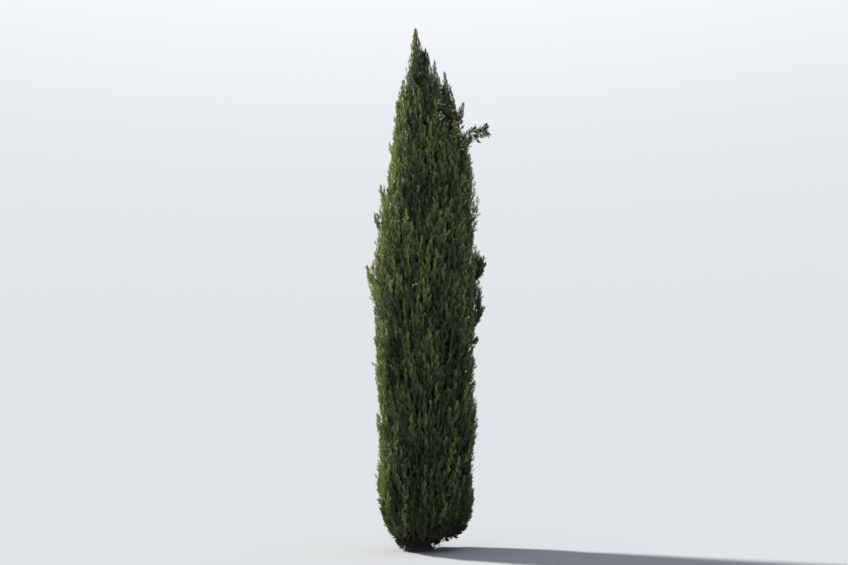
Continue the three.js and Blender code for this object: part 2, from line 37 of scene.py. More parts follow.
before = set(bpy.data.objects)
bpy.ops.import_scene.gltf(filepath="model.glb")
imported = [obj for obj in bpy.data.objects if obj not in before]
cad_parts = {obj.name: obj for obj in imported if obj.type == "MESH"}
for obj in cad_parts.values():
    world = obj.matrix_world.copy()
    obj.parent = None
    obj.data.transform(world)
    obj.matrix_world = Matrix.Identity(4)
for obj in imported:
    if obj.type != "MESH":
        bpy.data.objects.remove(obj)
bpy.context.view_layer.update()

# Lengths are metres, and bearings are radians from +X towards +Y
TREE_TOP = 8.2
TRUNK_TIP = 7.9
TRUNK_LEAN = 0.14
TRUNK_BOW = 0.11
BUTTRESSES = 5
TRUNK_SIDES = 80
BOUGH_SIDES = 14
BRANCH_SIDES = 9
TWIG_SIDES = 3

# Trunk: height, radius, and how far the buttresses of the root flare stand out
TRUNK = np.array([
    (0.00, 0.225, 0.12),
    (0.06, 0.186, 0.09),
    (0.16, 0.156, 0.06),
    (0.32, 0.138, 0.03),
    (0.70, 0.122, 0),
    (1.50, 0.110, 0),
    (2.80, 0.094, 0),
    (4.10, 0.076, 0),
    (5.40, 0.054, 0),
    (6.50, 0.032, 0),
    (7.30, 0.016, 0),
    (7.85, 0.007, 0),
])

# Crown: height, half width, and how far its middle lies to the right
CROWN = np.array([
    (0.00, 0.600, 0.125),
    (0.45, 0.665, 0.135),
    (1.00, 0.770, 0.125),
    (2.10, 0.755, 0.165),
    (3.30, 0.785, 0.170),
    (4.30, 0.800, 0.200),
    (5.10, 0.745, 0.270),
    (5.80, 0.645, 0.345),
    (6.40, 0.585, 0.315),
    (6.90, 0.425, 0.270),
    (7.40, 0.330, 0.255),
    (7.80, 0.150, 0.190),
    (8.20, 0.020, 0.140),
])
LUMP_SHARE = 0.05
LUMP_SPACING = 0.76

# Tiers of masses, whose edges are zigzags that drop on their way in to the trunk
CROWN_FOOT = 0.42
CROWN_SEAM = 6.35
BODY_TIERS = 6
SECTORS = 6
POINT_HEIGHT = 0.6
INWARD_DROP = 0.5
TOP_CELL_LEVEL = 7.05
TIER_HEIGHT = (CROWN_SEAM - CROWN_FOOT) / BODY_TIERS
HALF_SECTOR = math.pi / SECTORS
STEM_SLOPE = 0.9
STEM_END_SHARE = 0.52
LOWEST_STEM = 0.15

# Steps that spread things evenly: round a stem, over a height, and over the face of a cell
GOLDEN_ANGLE = math.radians(137.508)
GOLDEN_SHARE = 0.618034
ACROSS_STEP = 0.7548776662
ALONG_STEP = 0.569840291

# The crown's surface, mostly in shares of its radius
SURFACE_SHARE = 0.945
FURTHEST_SHARE = 1.01
PLUME_DEPTH = 0.24
DEEPEST_SHARE = 0.45
LOWEST_PLUME = 0.13
SURFACE_RELIEF = 0.08
KNOB_WIDTH = 0.12
STRAY_PLUMES = 0.06
FIRST_STRAY_TIER = 3

# Smooth noise: how closely it waves along each axis and, in the crown, where it starts
LUMP_WAVE = ((1.9, 1.9, 1.9), (7.3, 1.1, 4.2))
CREVICE_WAVE = ((7, 7, 1.2), (2.1, 5.7, 3.3))
TONE_WAVE = ((8, 8, 0.8), (5.1, 2.2, 8.4))
FURROWS = np.array([34, 34, 2.6])
BROAD_FURROWS = np.array([9, 9, 1.1])

# Tufts: where the sprays stand on their twig, how they scatter, and how many turn outwards or stray
TUFT_START = 0.08
TUFT_RUN = 0.87
SCATTER = 0.24
UPRIGHT = 0.3
TURNED_OUT = 0.7
STRAYS = 0.07
STRAY_LEAN = 0.4

# Branches: how many points their path has, and how thick they are at the tip
BRANCH_STEPS = 8
BRANCH_TAPER = 0.35

# Radii of the twigs at both ends
TUFT_TWIG = (0.0045, 0.0018)
SPIRE_TWIG = (0.008, 0.002)
SIDE_TWIG = (0.003, 0.0015)
LINK_TWIG = (0.0075, 0.0045)
SHADED_TWIG = (0.006, 0.004)
SPRIG_TWIG = (0.006, 0.002)

# Tones: how far they scatter, and how much lighter the sunny side is painted, as painted sunlight, down to
# which depth
TONE_SCATTER = 0.7
PAINTED_SUN_TONE = 3.0
SUNLIT_DEPTH = 0.7

# Shaded growth: how much of it stands inside a mass, under the crown and between the spires
SHADED_TUFTS = 16
SKIRT_TUFTS = 72
CORE_TUFTS = 56

# Forms of sprays: how many there are outside and inside
SPRAY_FORMS = 9
SHADED_FORMS = 5

# Seeds of what doesn't grow in a cell, counted from the first seed
TOP_SEED = 100
FOLIAGE_SEED = 500
INNER_SEED = 600
CONE_SEED = 700

# Boughs: bearing, height at the trunk, share of the crown's radius and height at the tip, and both radii
BOUGH_SAG = 0.06
BOUGHS = {
    "bough_left": (math.pi, 3.24, 0.98, 3.95, 0.015, 0.008),
    "bough_right": (0, 3.33, 0.97, 4.08, 0.015, 0.009),
    "bough_back": (math.pi / 2, 4.23, 0.98, 4.93, 0.014, 0.008),
    "bough_sprig": (0, 5.56, 1.02, 6.395, 0.015, 0.008),
}

# Plumes on the boughs: the bough, their radius and tone, and the tips of their shoots
PLUMES = {
    "plume_left": ("bough_left", 0.055, 3.6, [(-0.722, -0.010, 4.33), (-0.690, 0.040, 4.19)]),
    "plume_right": (
        "bough_right", 0.05, 1.0, [(1.135, 0.025, 4.33), (1.155, -0.015, 4.44), (1.075, 0.06, 4.4)],
    ),
    "plume_back": ("bough_back", 0.09, 1.8, [(0.15, 0.85, 5.41), (0.23, 0.835, 5.29)]),
}
PLUME_BARE = 0.3
SPRIG = [(1.03, -0.012, 6.415), (1.125, 0.008, 6.432), (1.205, 0, 6.46)]

# Side shoots of the sprig, from its root: how far each reaches out and up
SPRIG_SHOOTS = [
    (0.06, 0.05),
    (0.05, -0.09),
    (0.08, 0.04),
    (0.06, -0.12),
    (0.08, 0.03),
    (0.05, -0.14),
    (0.08, 0.01),
    (0.06, -0.13),
    (0.08, -0.04),
    (0.06, 0.03),
    (0.06, -0.10),
    (0.06, 0.02),
    (0.06, -0.08),
    (0.03, 0.06),
]

# Knobs of the crown's surface: bearing, height, half height, and how far each stands out
KNOBS = [
    (0, 4.75, 0.40, 0.05),
    (0, 3.75, 0.50, 0.085),
    (0.2, 5.85, 0.15, 0.06),
    (0.3, 6.85, 0.35, -0.10),
    (-0.3, 6.85, 0.35, -0.10),
    (-0.2, 2.10, 0.20, 0.05),
    (math.pi, 3.90, 0.35, 0.05),
    (math.pi, 6.95, 0.60, -0.10),
    (1.6, 3.40, 0.20, 0.07),
    (4.0, 2.70, 0.20, 0.05),
    *[(way, 1.25, 0.85, -0.065) for way in (2.95, 3.33)],
    *[(way, 1.90, 0.18, -0.05) for way in (2.85, math.pi, 3.43)],
    (math.pi, 1.42, 0.16, -0.05),
    (0, 0.50, 0.35, -0.05),
]

# Small clumps: the tier they grow on, the foot and the tip of their middle twig, and how many twigs
CLUMPS = [
    (3, (0.900, 0.00, 3.26), (1.000, -0.02, 3.50), 8),
    (3, (0.930, -0.02, 3.34), (1.065, -0.03, 3.50), 6),
    (3, (0.940, 0.02, 3.42), (1.100, 0.00, 3.61), 7),
    (3, (0.955, 0.02, 3.50), (1.060, 0.01, 3.76), 4),
    (3, (0.955, 0.00, 3.60), (1.045, 0.02, 3.88), 5),
    (3, (0.900, 0.00, 3.03), (0.975, 0.00, 3.15), 3),
    (4, (0.985, 0.00, 4.02), (1.090, -0.03, 4.16), 7),
    (4, (0.985, -0.02, 4.12), (1.135, 0.02, 4.30), 8),
    (4, (0.985, 0.02, 4.20), (1.060, -0.02, 4.36), 5),
    (4, (-0.450, 0.00, 4.84), (-0.520, 0.00, 5.09), 4),
    (5, (-0.360, 0.00, 5.25), (-0.420, 0.00, 5.54), 4),
    (5, (0.860, 0.00, 6.12), (0.965, -0.01, 6.27), 4),
    (6, (0.470, -0.03, 7.00), (0.500, -0.03, 7.28), 5),
    (6, (0.010, 0.00, 7.15), (0.030, 0.00, 7.45), 5),
]

# Spires: how far sprays reach past the axis, how they widen from the point, and where the last one stands
SPRAY_OVER_TIP = 0.075
SPIRE_POINT = 0.010
SPIRE_SLOPE = 0.25
SPIRE_WIDEST = 1.35
SPIRE_END = 0.97

# Spires: the foot and the tip of each axis, its radius low down and its tone
SPIRE_FOOT_LEVEL = 6.64
SPIRE_AIM_HEIGHT = 6.85
SPIRE_FOOT_SHARES = (0.66, 0.8)
OUTER_SPIRES = [
    (0, (0.582, -0.025, 7.48), 0.087, 1.6),
    (0, (0.918, 0.010, 6.97), 0.112, 2.6),
    (0, (0.748, 0.070, 6.97), 0.066, 0.9),
    (1, (0.545, 0.215, 7.21), 0.085, 1.8),
    (1, (0.640, 0.300, 6.89), 0.073, 1.4),
    (2, (0.150, 0.250, 7.30), 0.085, 1.8),
    (2, (0.030, 0.345, 6.94), 0.073, 1.4),
    (3, (-0.062, 0.025, 7.40), 0.073, 1.4),
    (3, (-0.128, -0.060, 6.94), 0.071, 1.2),
    (4, (0.042, -0.190, 7.53), 0.085, 2.0),
    (4, (0.110, -0.350, 7.00), 0.076, 3.2),
    (5, (0.430, -0.250, 7.27), 0.087, 1.6),
    (5, (0.610, -0.255, 6.92), 0.073, 1.2),
]
INNER_SPIRES = {
    "spire_front": ((0.335, -0.118, 6.52), (0.322, -0.062, 7.81), 0.088, 1.2),
    "spire_right": ((0.405, 0.085, 6.52), (0.442, 0.045, 7.72), 0.112, 3.4),
    "spire_back": ((0.250, 0.172, 6.54), (0.262, 0.112, 7.54), 0.066, 1.6),
}
LEADER_FOOT = 6.48
LEADER_RADIUS = 0.104
LEADER_TONE = 1.8
LEADER_TIP = (TRUNK_LEAN, 0, TREE_TOP + 0.075)
LEADER_SPRAYS = 410
FOOT_BEARINGS = [math.radians(degrees) for degrees in (150, 200, 250)]
FOOT_STEM_HEIGHT = 0.062
FOOT_STEM_START = 0.12
FOOT_SHOOT_RADIUS = 0.246
FOOT_SHOOT_FAN = np.linspace(-1, 1, 9)

# Greens in order of brightness, which a spray takes by its tone, and the odd colours after them
GREENS = ["deep_green", "dark_green", "mid_green", "fresh_green", "bright_green"]
ODD_COLOURS = ["blue_green", "dead_brown", "straw"]
BRIGHT, BLUE, BROWN, STRAW = 4, 5, 6, 7

# Cones: the middle and the reach of the place where every plume has some, and the share elsewhere
CONE_PATCH = np.array([0.64, -0.32, 6.68])
CONE_PATCH_REACH = 0.34
STRAY_CONES = 0.02

# Places where an odd colour is common: its middle, its reach each way, its number and its share
PATCHES = [
    ((0.68, -0.35, 1.25), (0.20, 0.50, 0.95), BLUE, 0.50),
    ((0.66, -0.10, 6.45), (0.26, 0.50, 0.55), BROWN, 0.20),
    ((0.82, -0.05, 6.58), (0.12, 0.25, 0.14), BROWN, 0.60),
    ((1.08, 0.00, 4.24), (0.07, 0.15, 0.09), BROWN, 0.50),
    ((0.48, -0.25, 7.05), (0.10, 0.30, 0.22), BROWN, 0.20),
    ((0.18, -0.40, 7.02), (0.06, 0.35, 0.28), BRIGHT, 0.80),
    ((-0.45, -0.25, 4.15), (0.10, 0.30, 0.14), BROWN, 0.50),
    ((0.14, 0.00, 7.99), (0.25, 0.25, 0.36), STRAW, 0.50),
]

# Painted light and shade: places where the foliage is painted lighter or darker, with the middle, the reach
# each way, and by how much
PAINTED_LIGHT_AND_SHADE = [
    ((0.20, -0.60, 4.20), (1.00, 0.80, 1.10), 0.3),
    ((-0.30, -0.60, 3.82), (0.10, 0.40, 0.16), 1.6),
    ((0.09, -0.75, 3.94), (0.13, 0.40, 0.10), 1.2),
    ((0.61, -0.55, 3.80), (0.06, 0.40, 0.14), 1.3),
    ((0.02, -0.75, 3.29), (0.07, 0.40, 0.12), 1.5),
    ((0.23, -0.75, 2.99), (0.06, 0.40, 0.10), 1.2),
    ((-0.04, -0.75, 4.75), (0.18, 0.40, 0.22), 0.9),
    ((0.36, -0.70, 4.95), (0.06, 0.40, 0.20), 1.2),
    ((0.17, -0.75, 4.30), (0.05, 0.40, 0.20), 1.2),
    ((-0.40, -0.55, 3.70), (0.14, 0.45, 0.55), -1.3),
    # painted shade at the foot on the left
    ((-0.42, -0.15, 0.48), (0.28, 0.60, 0.36), -1.8),
    ((-0.38, -0.55, 2.40), (0.12, 0.45, 0.90), -0.8),
    ((0.45, -0.60, 3.55), (0.10, 0.40, 0.30), -1.0),
    ((0.05, -0.70, 5.55), (0.16, 0.40, 0.40), -0.8),
    # painted shade on the outermost spires at the top left
    ((-0.14, -0.05, 7.10), (0.08, 0.35, 0.50), -1.8),
    ((-0.24, -0.05, 6.50), (0.07, 0.35, 0.35), -1.4),
]


def count_property(name, description, value):
    return IntProperty(name=name, description=description, default=value, min=1)


def length_property(name, description, value):
    return FloatProperty(name=name, description=description, default=value, unit="LENGTH")


def share_property(name, description, value):
    return FloatProperty(name=name, description=description, default=value, subtype="FACTOR")


def angle_property(name, description, degrees):
    return FloatProperty(name=name, description=description, default=math.radians(degrees), subtype="ANGLE")


def strength_property(name, description, value):
    return FloatProperty(name=name, description=description, default=value, min=0)


def colour_property(name, description, value):
    return FloatVectorProperty(
        name=name, description=description, default=value, subtype="COLOR", size=3, min=0, max=1
    )


class CypressSizes(bpy.types.PropertyGroup):
    """Counts and lengths of what grows on the limbs."""

    plumes: count_property("Plumes", "Plumes on each mass", 54)
    top_plumes: count_property("Top plumes", "Plumes on a mass of the last tier", 30)
    sprays: count_property("Sprays", "Sprays on each plume", 11)
    shoots: count_property("Shoots", "Shoots on each spray", 14)
    plume_length: length_property("Plume length", "Length of a plume", 0.3)
    spray_length: length_property("Spray length", "Length of a spray low on its plume", 0.13)
    shoot_width: share_property("Shoot width", "Width of a shoot as a share of its length", 0.29)
    bark_relief: share_property("Bark relief", "Depth of the furrows over the trunk's radius", 0.085)
    cone_radius: length_property("Cone radius", "Radius of a ripe cone", 0.0175)
    seed: count_property("Seed", "First seed of all that grows", 11)


class CypressColours(bpy.types.PropertyGroup):
    """Base colours of the tree."""

    deep_green: colour_property("Deep green", "Shoots inside a plume", (0.016, 0.027, 0.010))
    dark_green: colour_property("Dark green", "Older shoots", (0.033, 0.056, 0.025))
    mid_green: colour_property("Mid green", "Most shoots", (0.061, 0.097, 0.044))
    fresh_green: colour_property("Fresh green", "Young shoots", (0.098, 0.138, 0.057))
    bright_green: colour_property("Bright green", "Tips of young shoots", (0.190, 0.240, 0.062))
    blue_green: colour_property("Blue green", "Shoots low on the shaded side", (0.033, 0.064, 0.035))
    dead_brown: colour_property("Dead brown", "Dead shoots", (0.100, 0.066, 0.036))
    straw: colour_property("Straw", "Dry tips", (0.190, 0.150, 0.085))
    # Brown dead foliage inside the crown, painted near black as painted shade
    inner_brown: colour_property("Inner shade brown", "Shaded foliage inside the crown", (0.022, 0.021, 0.012))
    bark: colour_property("Bark", "Face of the bark's strips", (0.062, 0.052, 0.041))
    bark_stain: colour_property("Bark stain", "Grey stains on the strips", (0.078, 0.074, 0.062))
    bark_flake: colour_property("Bark flake", "Dry edges of the flakes", (0.110, 0.094, 0.076))
    # Painted shade: the bark's colour where it darkens towards the ground
    bark_foot_shade: colour_property("Bark foot shade", "Painted shade on the bark at the ground", (0.017, 0.015, 0.011))
    furrow: colour_property("Furrow", "Bottom of the bark's furrows", (0.026, 0.019, 0.014))
    twig: colour_property("Twig", "Bark of the twigs", (0.078, 0.052, 0.033))
    old_twig: colour_property("Old twig", "Bark of the older twigs", (0.105, 0.092, 0.074))
    cone: colour_property("Cone", "Ripe cones", (0.285, 0.285, 0.155))
    cone_stain: colour_property("Cone stain", "Stains on the cones", (0.160, 0.148, 0.082))
    cone_dust: colour_property("Cone dust", "Light grain on the cones", (0.385, 0.372, 0.225))


class CypressStage(bpy.types.PropertyGroup):
    """The camera, the floor and the light."""

    distance: length_property("Distance", "From the camera to the tree", 14.2)
    side: length_property("Side", "How far right of the trunk the camera stands", 0.13)
    eye_height: length_property("Eye height", "Height of the camera", 1.6)
    pitch: angle_property("Pitch", "How far the camera looks up", 9.6)
    roll: angle_property("Roll", "How far the camera is tilted sideways", 1.3)
    lens: FloatProperty(name="Lens", description="Focal length", default=39.5, unit="CAMERA")
    floor_radius: length_property("Floor radius", "Radius of the floor", 1500)
    sun_side: angle_property("Sun side", "How far behind the left side the key light stands", 36)
    sun_height: angle_property("Sun height", "Height of the key light", 30)
    sun_strength: strength_property("Sun strength", "Strength of the key light", 26.0)
    sun_width: angle_property("Sun width", "How wide the key light looks", 6)
    low_light: strength_property("Low light", "Strength of the soft light at eye level", 0.80)
    high_light: strength_property("High light", "Strength of the soft light overhead", 2.8)


# The crown's form, by the same rule as the solids


def profile(table, height, column):
    """A column of a table at a height, also between two of its rows."""
    return np.interp(height, table[:, 0], table[:, column])


def trunk_middle(height):
    """Middle of the trunk at a height."""
    share = np.asarray(height, float) / TREE_TOP
    across = TRUNK_LEAN * share + TRUNK_BOW * np.sin(np.pi * share)
    return np.stack([across, np.zeros_like(across), share * TREE_TOP], axis=-1)


def crown_radius(bearing, height):
    """How far the crown reaches, with broad lumps at the front and the back."""
    lump = LUMP_SHARE * np.sin(bearing) ** 2 * np.sin(3 * bearing + height / LUMP_SPACING)
    return profile(CROWN, height, 1) * (1 + lump)


def crown_point(share, bearing, height):
    """Point at a share of the crown's radius."""
    share, bearing, height = np.broadcast_arrays(share, bearing, np.asarray(height, float))
    radius = share * crown_radius(bearing, height)
    middle = profile(CROWN, height, 2)
    return np.stack([middle + radius * np.cos(bearing), radius * np.sin(bearing), height], axis=-1)


def level_point(share, bearing, level):
    """Point at a share of the radius and a level, which is lower inside than at the surface."""
    return crown_point(share, bearing, level + INWARD_DROP * (share - 1))


def crown_place(point):
    """Bearing and share of the radius of a point."""
    across = point[0] - profile(CROWN, point[2], 2)
    bearing = math.atan2(point[1], across)
    return bearing, math.hypot(across, point[1]) / crown_radius(bearing, point[2])


def cell_of(tier, sector):
    """The space of one mass."""
    low = CROWN_FOOT + tier * TIER_HEIGHT
    is_top = tier == BODY_TIERS
    return {
        "tier": tier,
        "sector": sector,
        "bearing": (sector + (tier % 2) / 2) * 2 * HALF_SECTOR,
        "low": low,
        "high": TOP_CELL_LEVEL if is_top else low + TIER_HEIGHT,
        "low_point": 0 if tier == 0 else POINT_HEIGHT / 2,
        "high_point": 0 if is_top else POINT_HEIGHT / 2,
    }


def cell_levels(cell, turn):
    """Lowest and highest level of a cell at a turn, which is 0 in its middle and 1 at its sides."""
    zigzag = 2 * abs(turn) - 1
    return cell["low"] + cell["low_point"] * zigzag, cell["high"] - cell["high_point"] * zigzag


def fraction(value):
    """What is left of a number over the whole number below it."""
    return value - math.floor(value)


def cell_spot(cell, step):
    """A step's spot in a cell: its bearing, the lowest level there and its height above that."""
    turn = 2 * fraction(0.5 + step * ACROSS_STEP) - 1
    low, high = cell_levels(cell, turn)
    return cell["bearing"] + turn * HALF_SECTOR, low, (high - low) * fraction(0.5 + step * ALONG_STEP)


def heading(bearing):
    """The level direction of a bearing."""
    return np.array([math.cos(bearing), math.sin(bearing), 0])


def wave(place, steps, start):
    """Smooth noise at a place, from about -1 to 1."""
    return noise.noise(Vector(place) * Vector(steps) + Vector(start))


def unit(vectors):
    """Vectors of the same direction and unit length."""
    return vectors / np.maximum(np.linalg.norm(vectors, axis=-1, keepdims=True), 1e-9)


def blend(first, second, angles):
    """Directions turned by angles from the first towards the second."""
    return first * np.cos(angles)[:, None] + second * np.sin(angles)[:, None]


def bend(foot, tip, steps, knee=0.8, rise=0.35):
    """A path that first runs outwards and then turns upright."""
    middle = foot + (tip - foot) * np.array([knee, knee, rise])
    t = np.linspace(0, 1, steps)[:, None]
    return foot * (1 - t) ** 2 + middle * 2 * t * (1 - t) + tip * t**2


def straight(foot, tip, steps):
    """A straight path."""
    return bend(foot, tip, steps, knee=0.5, rise=0.5)


def bough_path(name, steps=9):
    """Path of a bough, from inside the trunk to its tip."""
    bearing, low, share, high, _, _ = BOUGHS[name]
    start = trunk_middle(low)
    end = crown_point(share, bearing, high)
    t = np.linspace(0, 1, steps)[:, None]
    path = start * (1 - t) + end * t
    path[:, 2] -= (high - low) * BOUGH_SAG * 4 * (t * (1 - t))[:, 0]
    return path


# Meshes from arrays


def new_piece(name, points, faces, materials, face_materials=None, smooth=False):
    """A mesh object from arrays of corners and of triangles or quads."""
    mesh = bpy.data.meshes.new(name)
    mesh.vertices.add(len(points))
    mesh.vertices.foreach_set("co", np.asarray(points, np.float32).ravel())
    mesh.loops.add(faces.size)
    mesh.loops.foreach_set("vertex_index", faces.ravel().astype(np.int32))
    mesh.polygons.add(len(faces))
    mesh.polygons.foreach_set("loop_start", np.arange(0, faces.size, faces.shape[1], dtype=np.int32))
    for material in materials:
        mesh.materials.append(material)
    if face_materials is not None:
        mesh.polygons.foreach_set("material_index", face_materials.astype(np.int32))
    mesh.polygons.foreach_set("use_smooth", np.full(len(faces), smooth))
    mesh.update(calc_edges=True)
    piece = bpy.data.objects.new(name, mesh)
    bpy.context.scene.collection.objects.link(piece)
    return piece


def mount(piece, nodes=()):
    """Sets a finished piece on the tree."""
    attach(piece, "root")
    if nodes:
        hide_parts(*nodes)
    return piece


def section_frames(path):
    """Two directions square to each step of a path."""
    run = unit(np.gradient(path, axis=0))
    helper = np.eye(3)[np.argmin(np.abs(path[-1] - path[0]))]
    first = unit(np.cross(run, helper))
    return first, np.cross(run, first)


def even_ball(subdivisions):
    """Corners and triangles of a ball."""
    ball = bmesh.new()
    bmesh.ops.create_icosphere(ball, subdivisions=subdivisions, radius=1)
    corners = np.array([corner.co[:] for corner in ball.verts])
    triangles = np.array([[corner.index for corner in face.verts] for face in ball.faces])
    ball.free()
    return corners, triangles


def limb_faces(rings, sides):
    """Triangles of a closed limb: a first corner, its rings of corners, and a last corner."""
    side = np.arange(sides)
    after = (side + 1) % sides
    last = 1 + (rings - 1) * sides
    faces = [np.stack([np.zeros_like(side), 1 + after, 1 + side], 1)]
    for ring in range(rings - 1):
        low = 1 + ring * sides
        high = low + sides
        faces.append(np.stack([low + side, low + after, high + after], 1))
        faces.append(np.stack([low + side, high + after, high + side], 1))
    faces.append(np.stack([np.full_like(side, last + sides), last + side, last + after], 1))
    return np.vstack(faces)


def tube(path, radii, sides):
    """Corners and triangles of a closed limb of round section."""
    first, second = section_frames(path)
    turn = np.arange(sides) * 2 * np.pi / sides
    out = blend(first[:, None], second[:, None], turn)
    rings = path[:, None] + out * np.asarray(radii)[:, None, None]
    return np.vstack([path[:1], rings.reshape(-1, 3), path[-1:]]), limb_faces(len(path), sides)


def tubes_piece(name, limbs, sides, material):
    """One piece from many limbs, each a path with its radii."""
    points, faces, count = [], [], 0
    for path, radii in limbs:
        corners, triangles = tube(path, radii, sides)
        points.append(corners)
        faces.append(triangles + count)
        count += len(corners)
    return new_piece(name, np.vstack(points), np.vstack(faces), [material], smooth=True)


# Sprays


def spray_form(rng, shoots, width, spread=1.0):
    """A spray of unit length along +Z that curves towards +X: a bare foot, then a broom of folded shoots.

    Gives its corners, its triangles and how far up the spray each triangle stands.
    """
    sway = rng.uniform(-0.05, 0.05)

    def spine(t):
        return np.array([0.14 * t * t, sway * t * t, 0.78 * t])

    girth = 0.011
    points = [girth * np.array([math.cos(a), math.sin(a), 0]) for a in (0, 2.1, 4.2)] + [spine(1)]
    faces = [(0, 1, 3), (1, 2, 3), (2, 0, 3), (0, 2, 1)]
    heights = [0.4] * 4
    for step in range(shoots):
        t = 0.2 + 0.78 * (step + 0.5) / shoots
        turn = GOLDEN_ANGLE * step + rng.uniform(-0.5, 0.5)
        lean = math.radians(32 - 14 * t) * spread * rng.uniform(0.6, 1.4)
        reach = (0.42 - 0.16 * t) * rng.uniform(0.75, 1.2)
        run = np.array([
            math.sin(lean) * math.cos(turn),
            math.sin(lean) * math.sin(turn),
            math.cos(lean),
        ])
        across = unit(np.cross(run, [0.3, 0.2, 1.0]))
        roll = rng.uniform(-1.2, 1.2)
        over = np.cross(run, across)
        side = across * math.cos(roll) + over * math.sin(roll)
        lift = np.cross(run, side)
        fold = rng.uniform(0.45, 0.8)
        half = 0.5 * width * reach
        root = spine(t)
        middle = root + run * reach * 0.62
        start = len(points)
        points += [
            root,
            middle + half * (side * math.cos(fold) + lift * math.sin(fold)),
            root + run * reach + np.array([0, 0, 0.2 * reach * math.sin(lean)]),
            middle + half * (-side * math.cos(fold) + lift * math.sin(fold)),
        ]
        faces += [(start, start + 1, start + 2), (start, start + 2, start + 3)]
        heights += [t, t]
    return np.array(points), np.array(faces), np.array(heights)


class Growth:
    """What has grown on some masses: branches, twigs, sprays and cones."""

    def __init__(self):
        self.branches, self.twigs, self.sprays, self.cones = [], [], [], []

    def add_twig(self, path, ends):
        """A twig with its radius at both ends."""
        self.twigs.append((path, np.linspace(*ends, len(path))))

    def add_sprays(self, roots, runs, lengths, tones, rng):
        """Rows of sprays: root, direction, length, roll, tone, and a share that picks their form."""
        rolls = rng.uniform(-0.6, 0.6, len(roots))
        picks = rng.uniform(0, 1, len(roots))
        self.sprays.append(np.column_stack([roots, runs, lengths, rolls, tones, picks]))

    def all_sprays(self):
        return np.vstack(self.sprays)


def nearness(points, middle, reach, edge):
    """1 near a place and 0 past its reach, with a ramp between."""
    away = np.linalg.norm((points - middle) / reach, axis=1)
    return np.clip(edge - edge * away, 0, 1)


def odd_colours(points, rng):
    """The number of each spray's odd colour, or -1 for a green one."""
    odd = np.full(len(points), -1)
    for middle, reach, colour, share in PATCHES:
        odd[rng.uniform(size=len(points)) < share * nearness(points, middle, reach, 1.5)] = colour
    return odd


def foliage_piece(name, sprays, forms, materials, rng):
    """One joined mesh of sprays, with each shoot's green from its spray's tone."""
    points, faces, tints, count = [], [], [], 0
    pick = (sprays[:, 9] * len(forms)).astype(int)
    odd = odd_colours(sprays[:, 0:3], rng)
    for index, (corners, triangles, heights) in enumerate(forms):
        rows = sprays[pick == index]
        if not len(rows):
            continue
        roots, runs = rows[:, 0:3], rows[:, 3:6]
        lengths, rolls, tones = rows[:, 6:9].T
        first = unit(np.array([0, 0, 1.0]) - runs * runs[:, 2:3])
        second = np.cross(runs, first)
        across = blend(first, second, rolls)
        through = np.cross(runs, across)
        scale = lengths[:, None, None]
        world = roots[:, None]
        for axis, way in enumerate((across, through, runs)):
            world = world + corners[None, :, axis : axis + 1] * way[:, None] * scale
        points.append(world.reshape(-1, 3))
        starts = count + np.arange(len(rows)) * len(corners)
        faces.append((starts[:, None, None] + triangles[None]).reshape(-1, 3))
        count += len(rows) * len(corners)
        own = np.repeat(rng.normal(0, 0.5, (len(rows), len(heights) // 2)), 2, axis=1)
        # Shoots towards a spray's tip are lighter and those near its foot darker: partly young growth at
        # the tips, and partly painted shade on the inner shoots.
        shade = tones[:, None] + 2.4 * (heights[None] - 0.6) + own
        tint = np.clip(np.rint(shade), 0, len(GREENS) - 1)
        rare = odd[pick == index]
        tint = np.where(rare[:, None] >= 0, rare[:, None], tint)
        tints.append(tint.ravel())
    return new_piece(name, np.vstack(points), np.vstack(faces), materials, np.concatenate(tints))


# Growth by the source's rule, carried to finer twigs


def between(rows, where):
    """Rows of a table, also between two of them."""
    return np.stack([np.interp(where, np.arange(len(rows)), column) for column in rows.T], 1)


def along_path(path, t):
    """Points and directions at shares of a path's length."""
    where = t * (len(path) - 1)
    return between(path, where), unit(between(np.gradient(path, axis=0), where))


def round_run(run, outward):
    """Two directions square to each run, the first of them away from the trunk."""
    first = unit(outward - run * np.sum(outward * run, 1, keepdims=True))
    return first, np.cross(run, first)


def painted_light(points, rng):
    """Painted light and shade: how much lighter the growth is painted on the tree's sunny side, and in the
    places where light and shade are painted.
    """
    heights = points[:, 2]
    away = points[:, 0:2] - np.stack([profile(CROWN, heights, 2), np.zeros(len(points))], 1)
    depth = np.linalg.norm(away, axis=1) / profile(CROWN, heights, 1)
    facing = -unit(away)[:, 0] * np.clip(depth / SUNLIT_DEPTH, 0, 1)
    light = PAINTED_SUN_TONE * np.clip((facing - 0.68) / 0.27, 0, 1) * rng.uniform(0.3, 1.2, len(points))
    for middle, reach, change in PAINTED_LIGHT_AND_SHADE:
        light += change * nearness(points, middle, reach, 1.6)
    return light


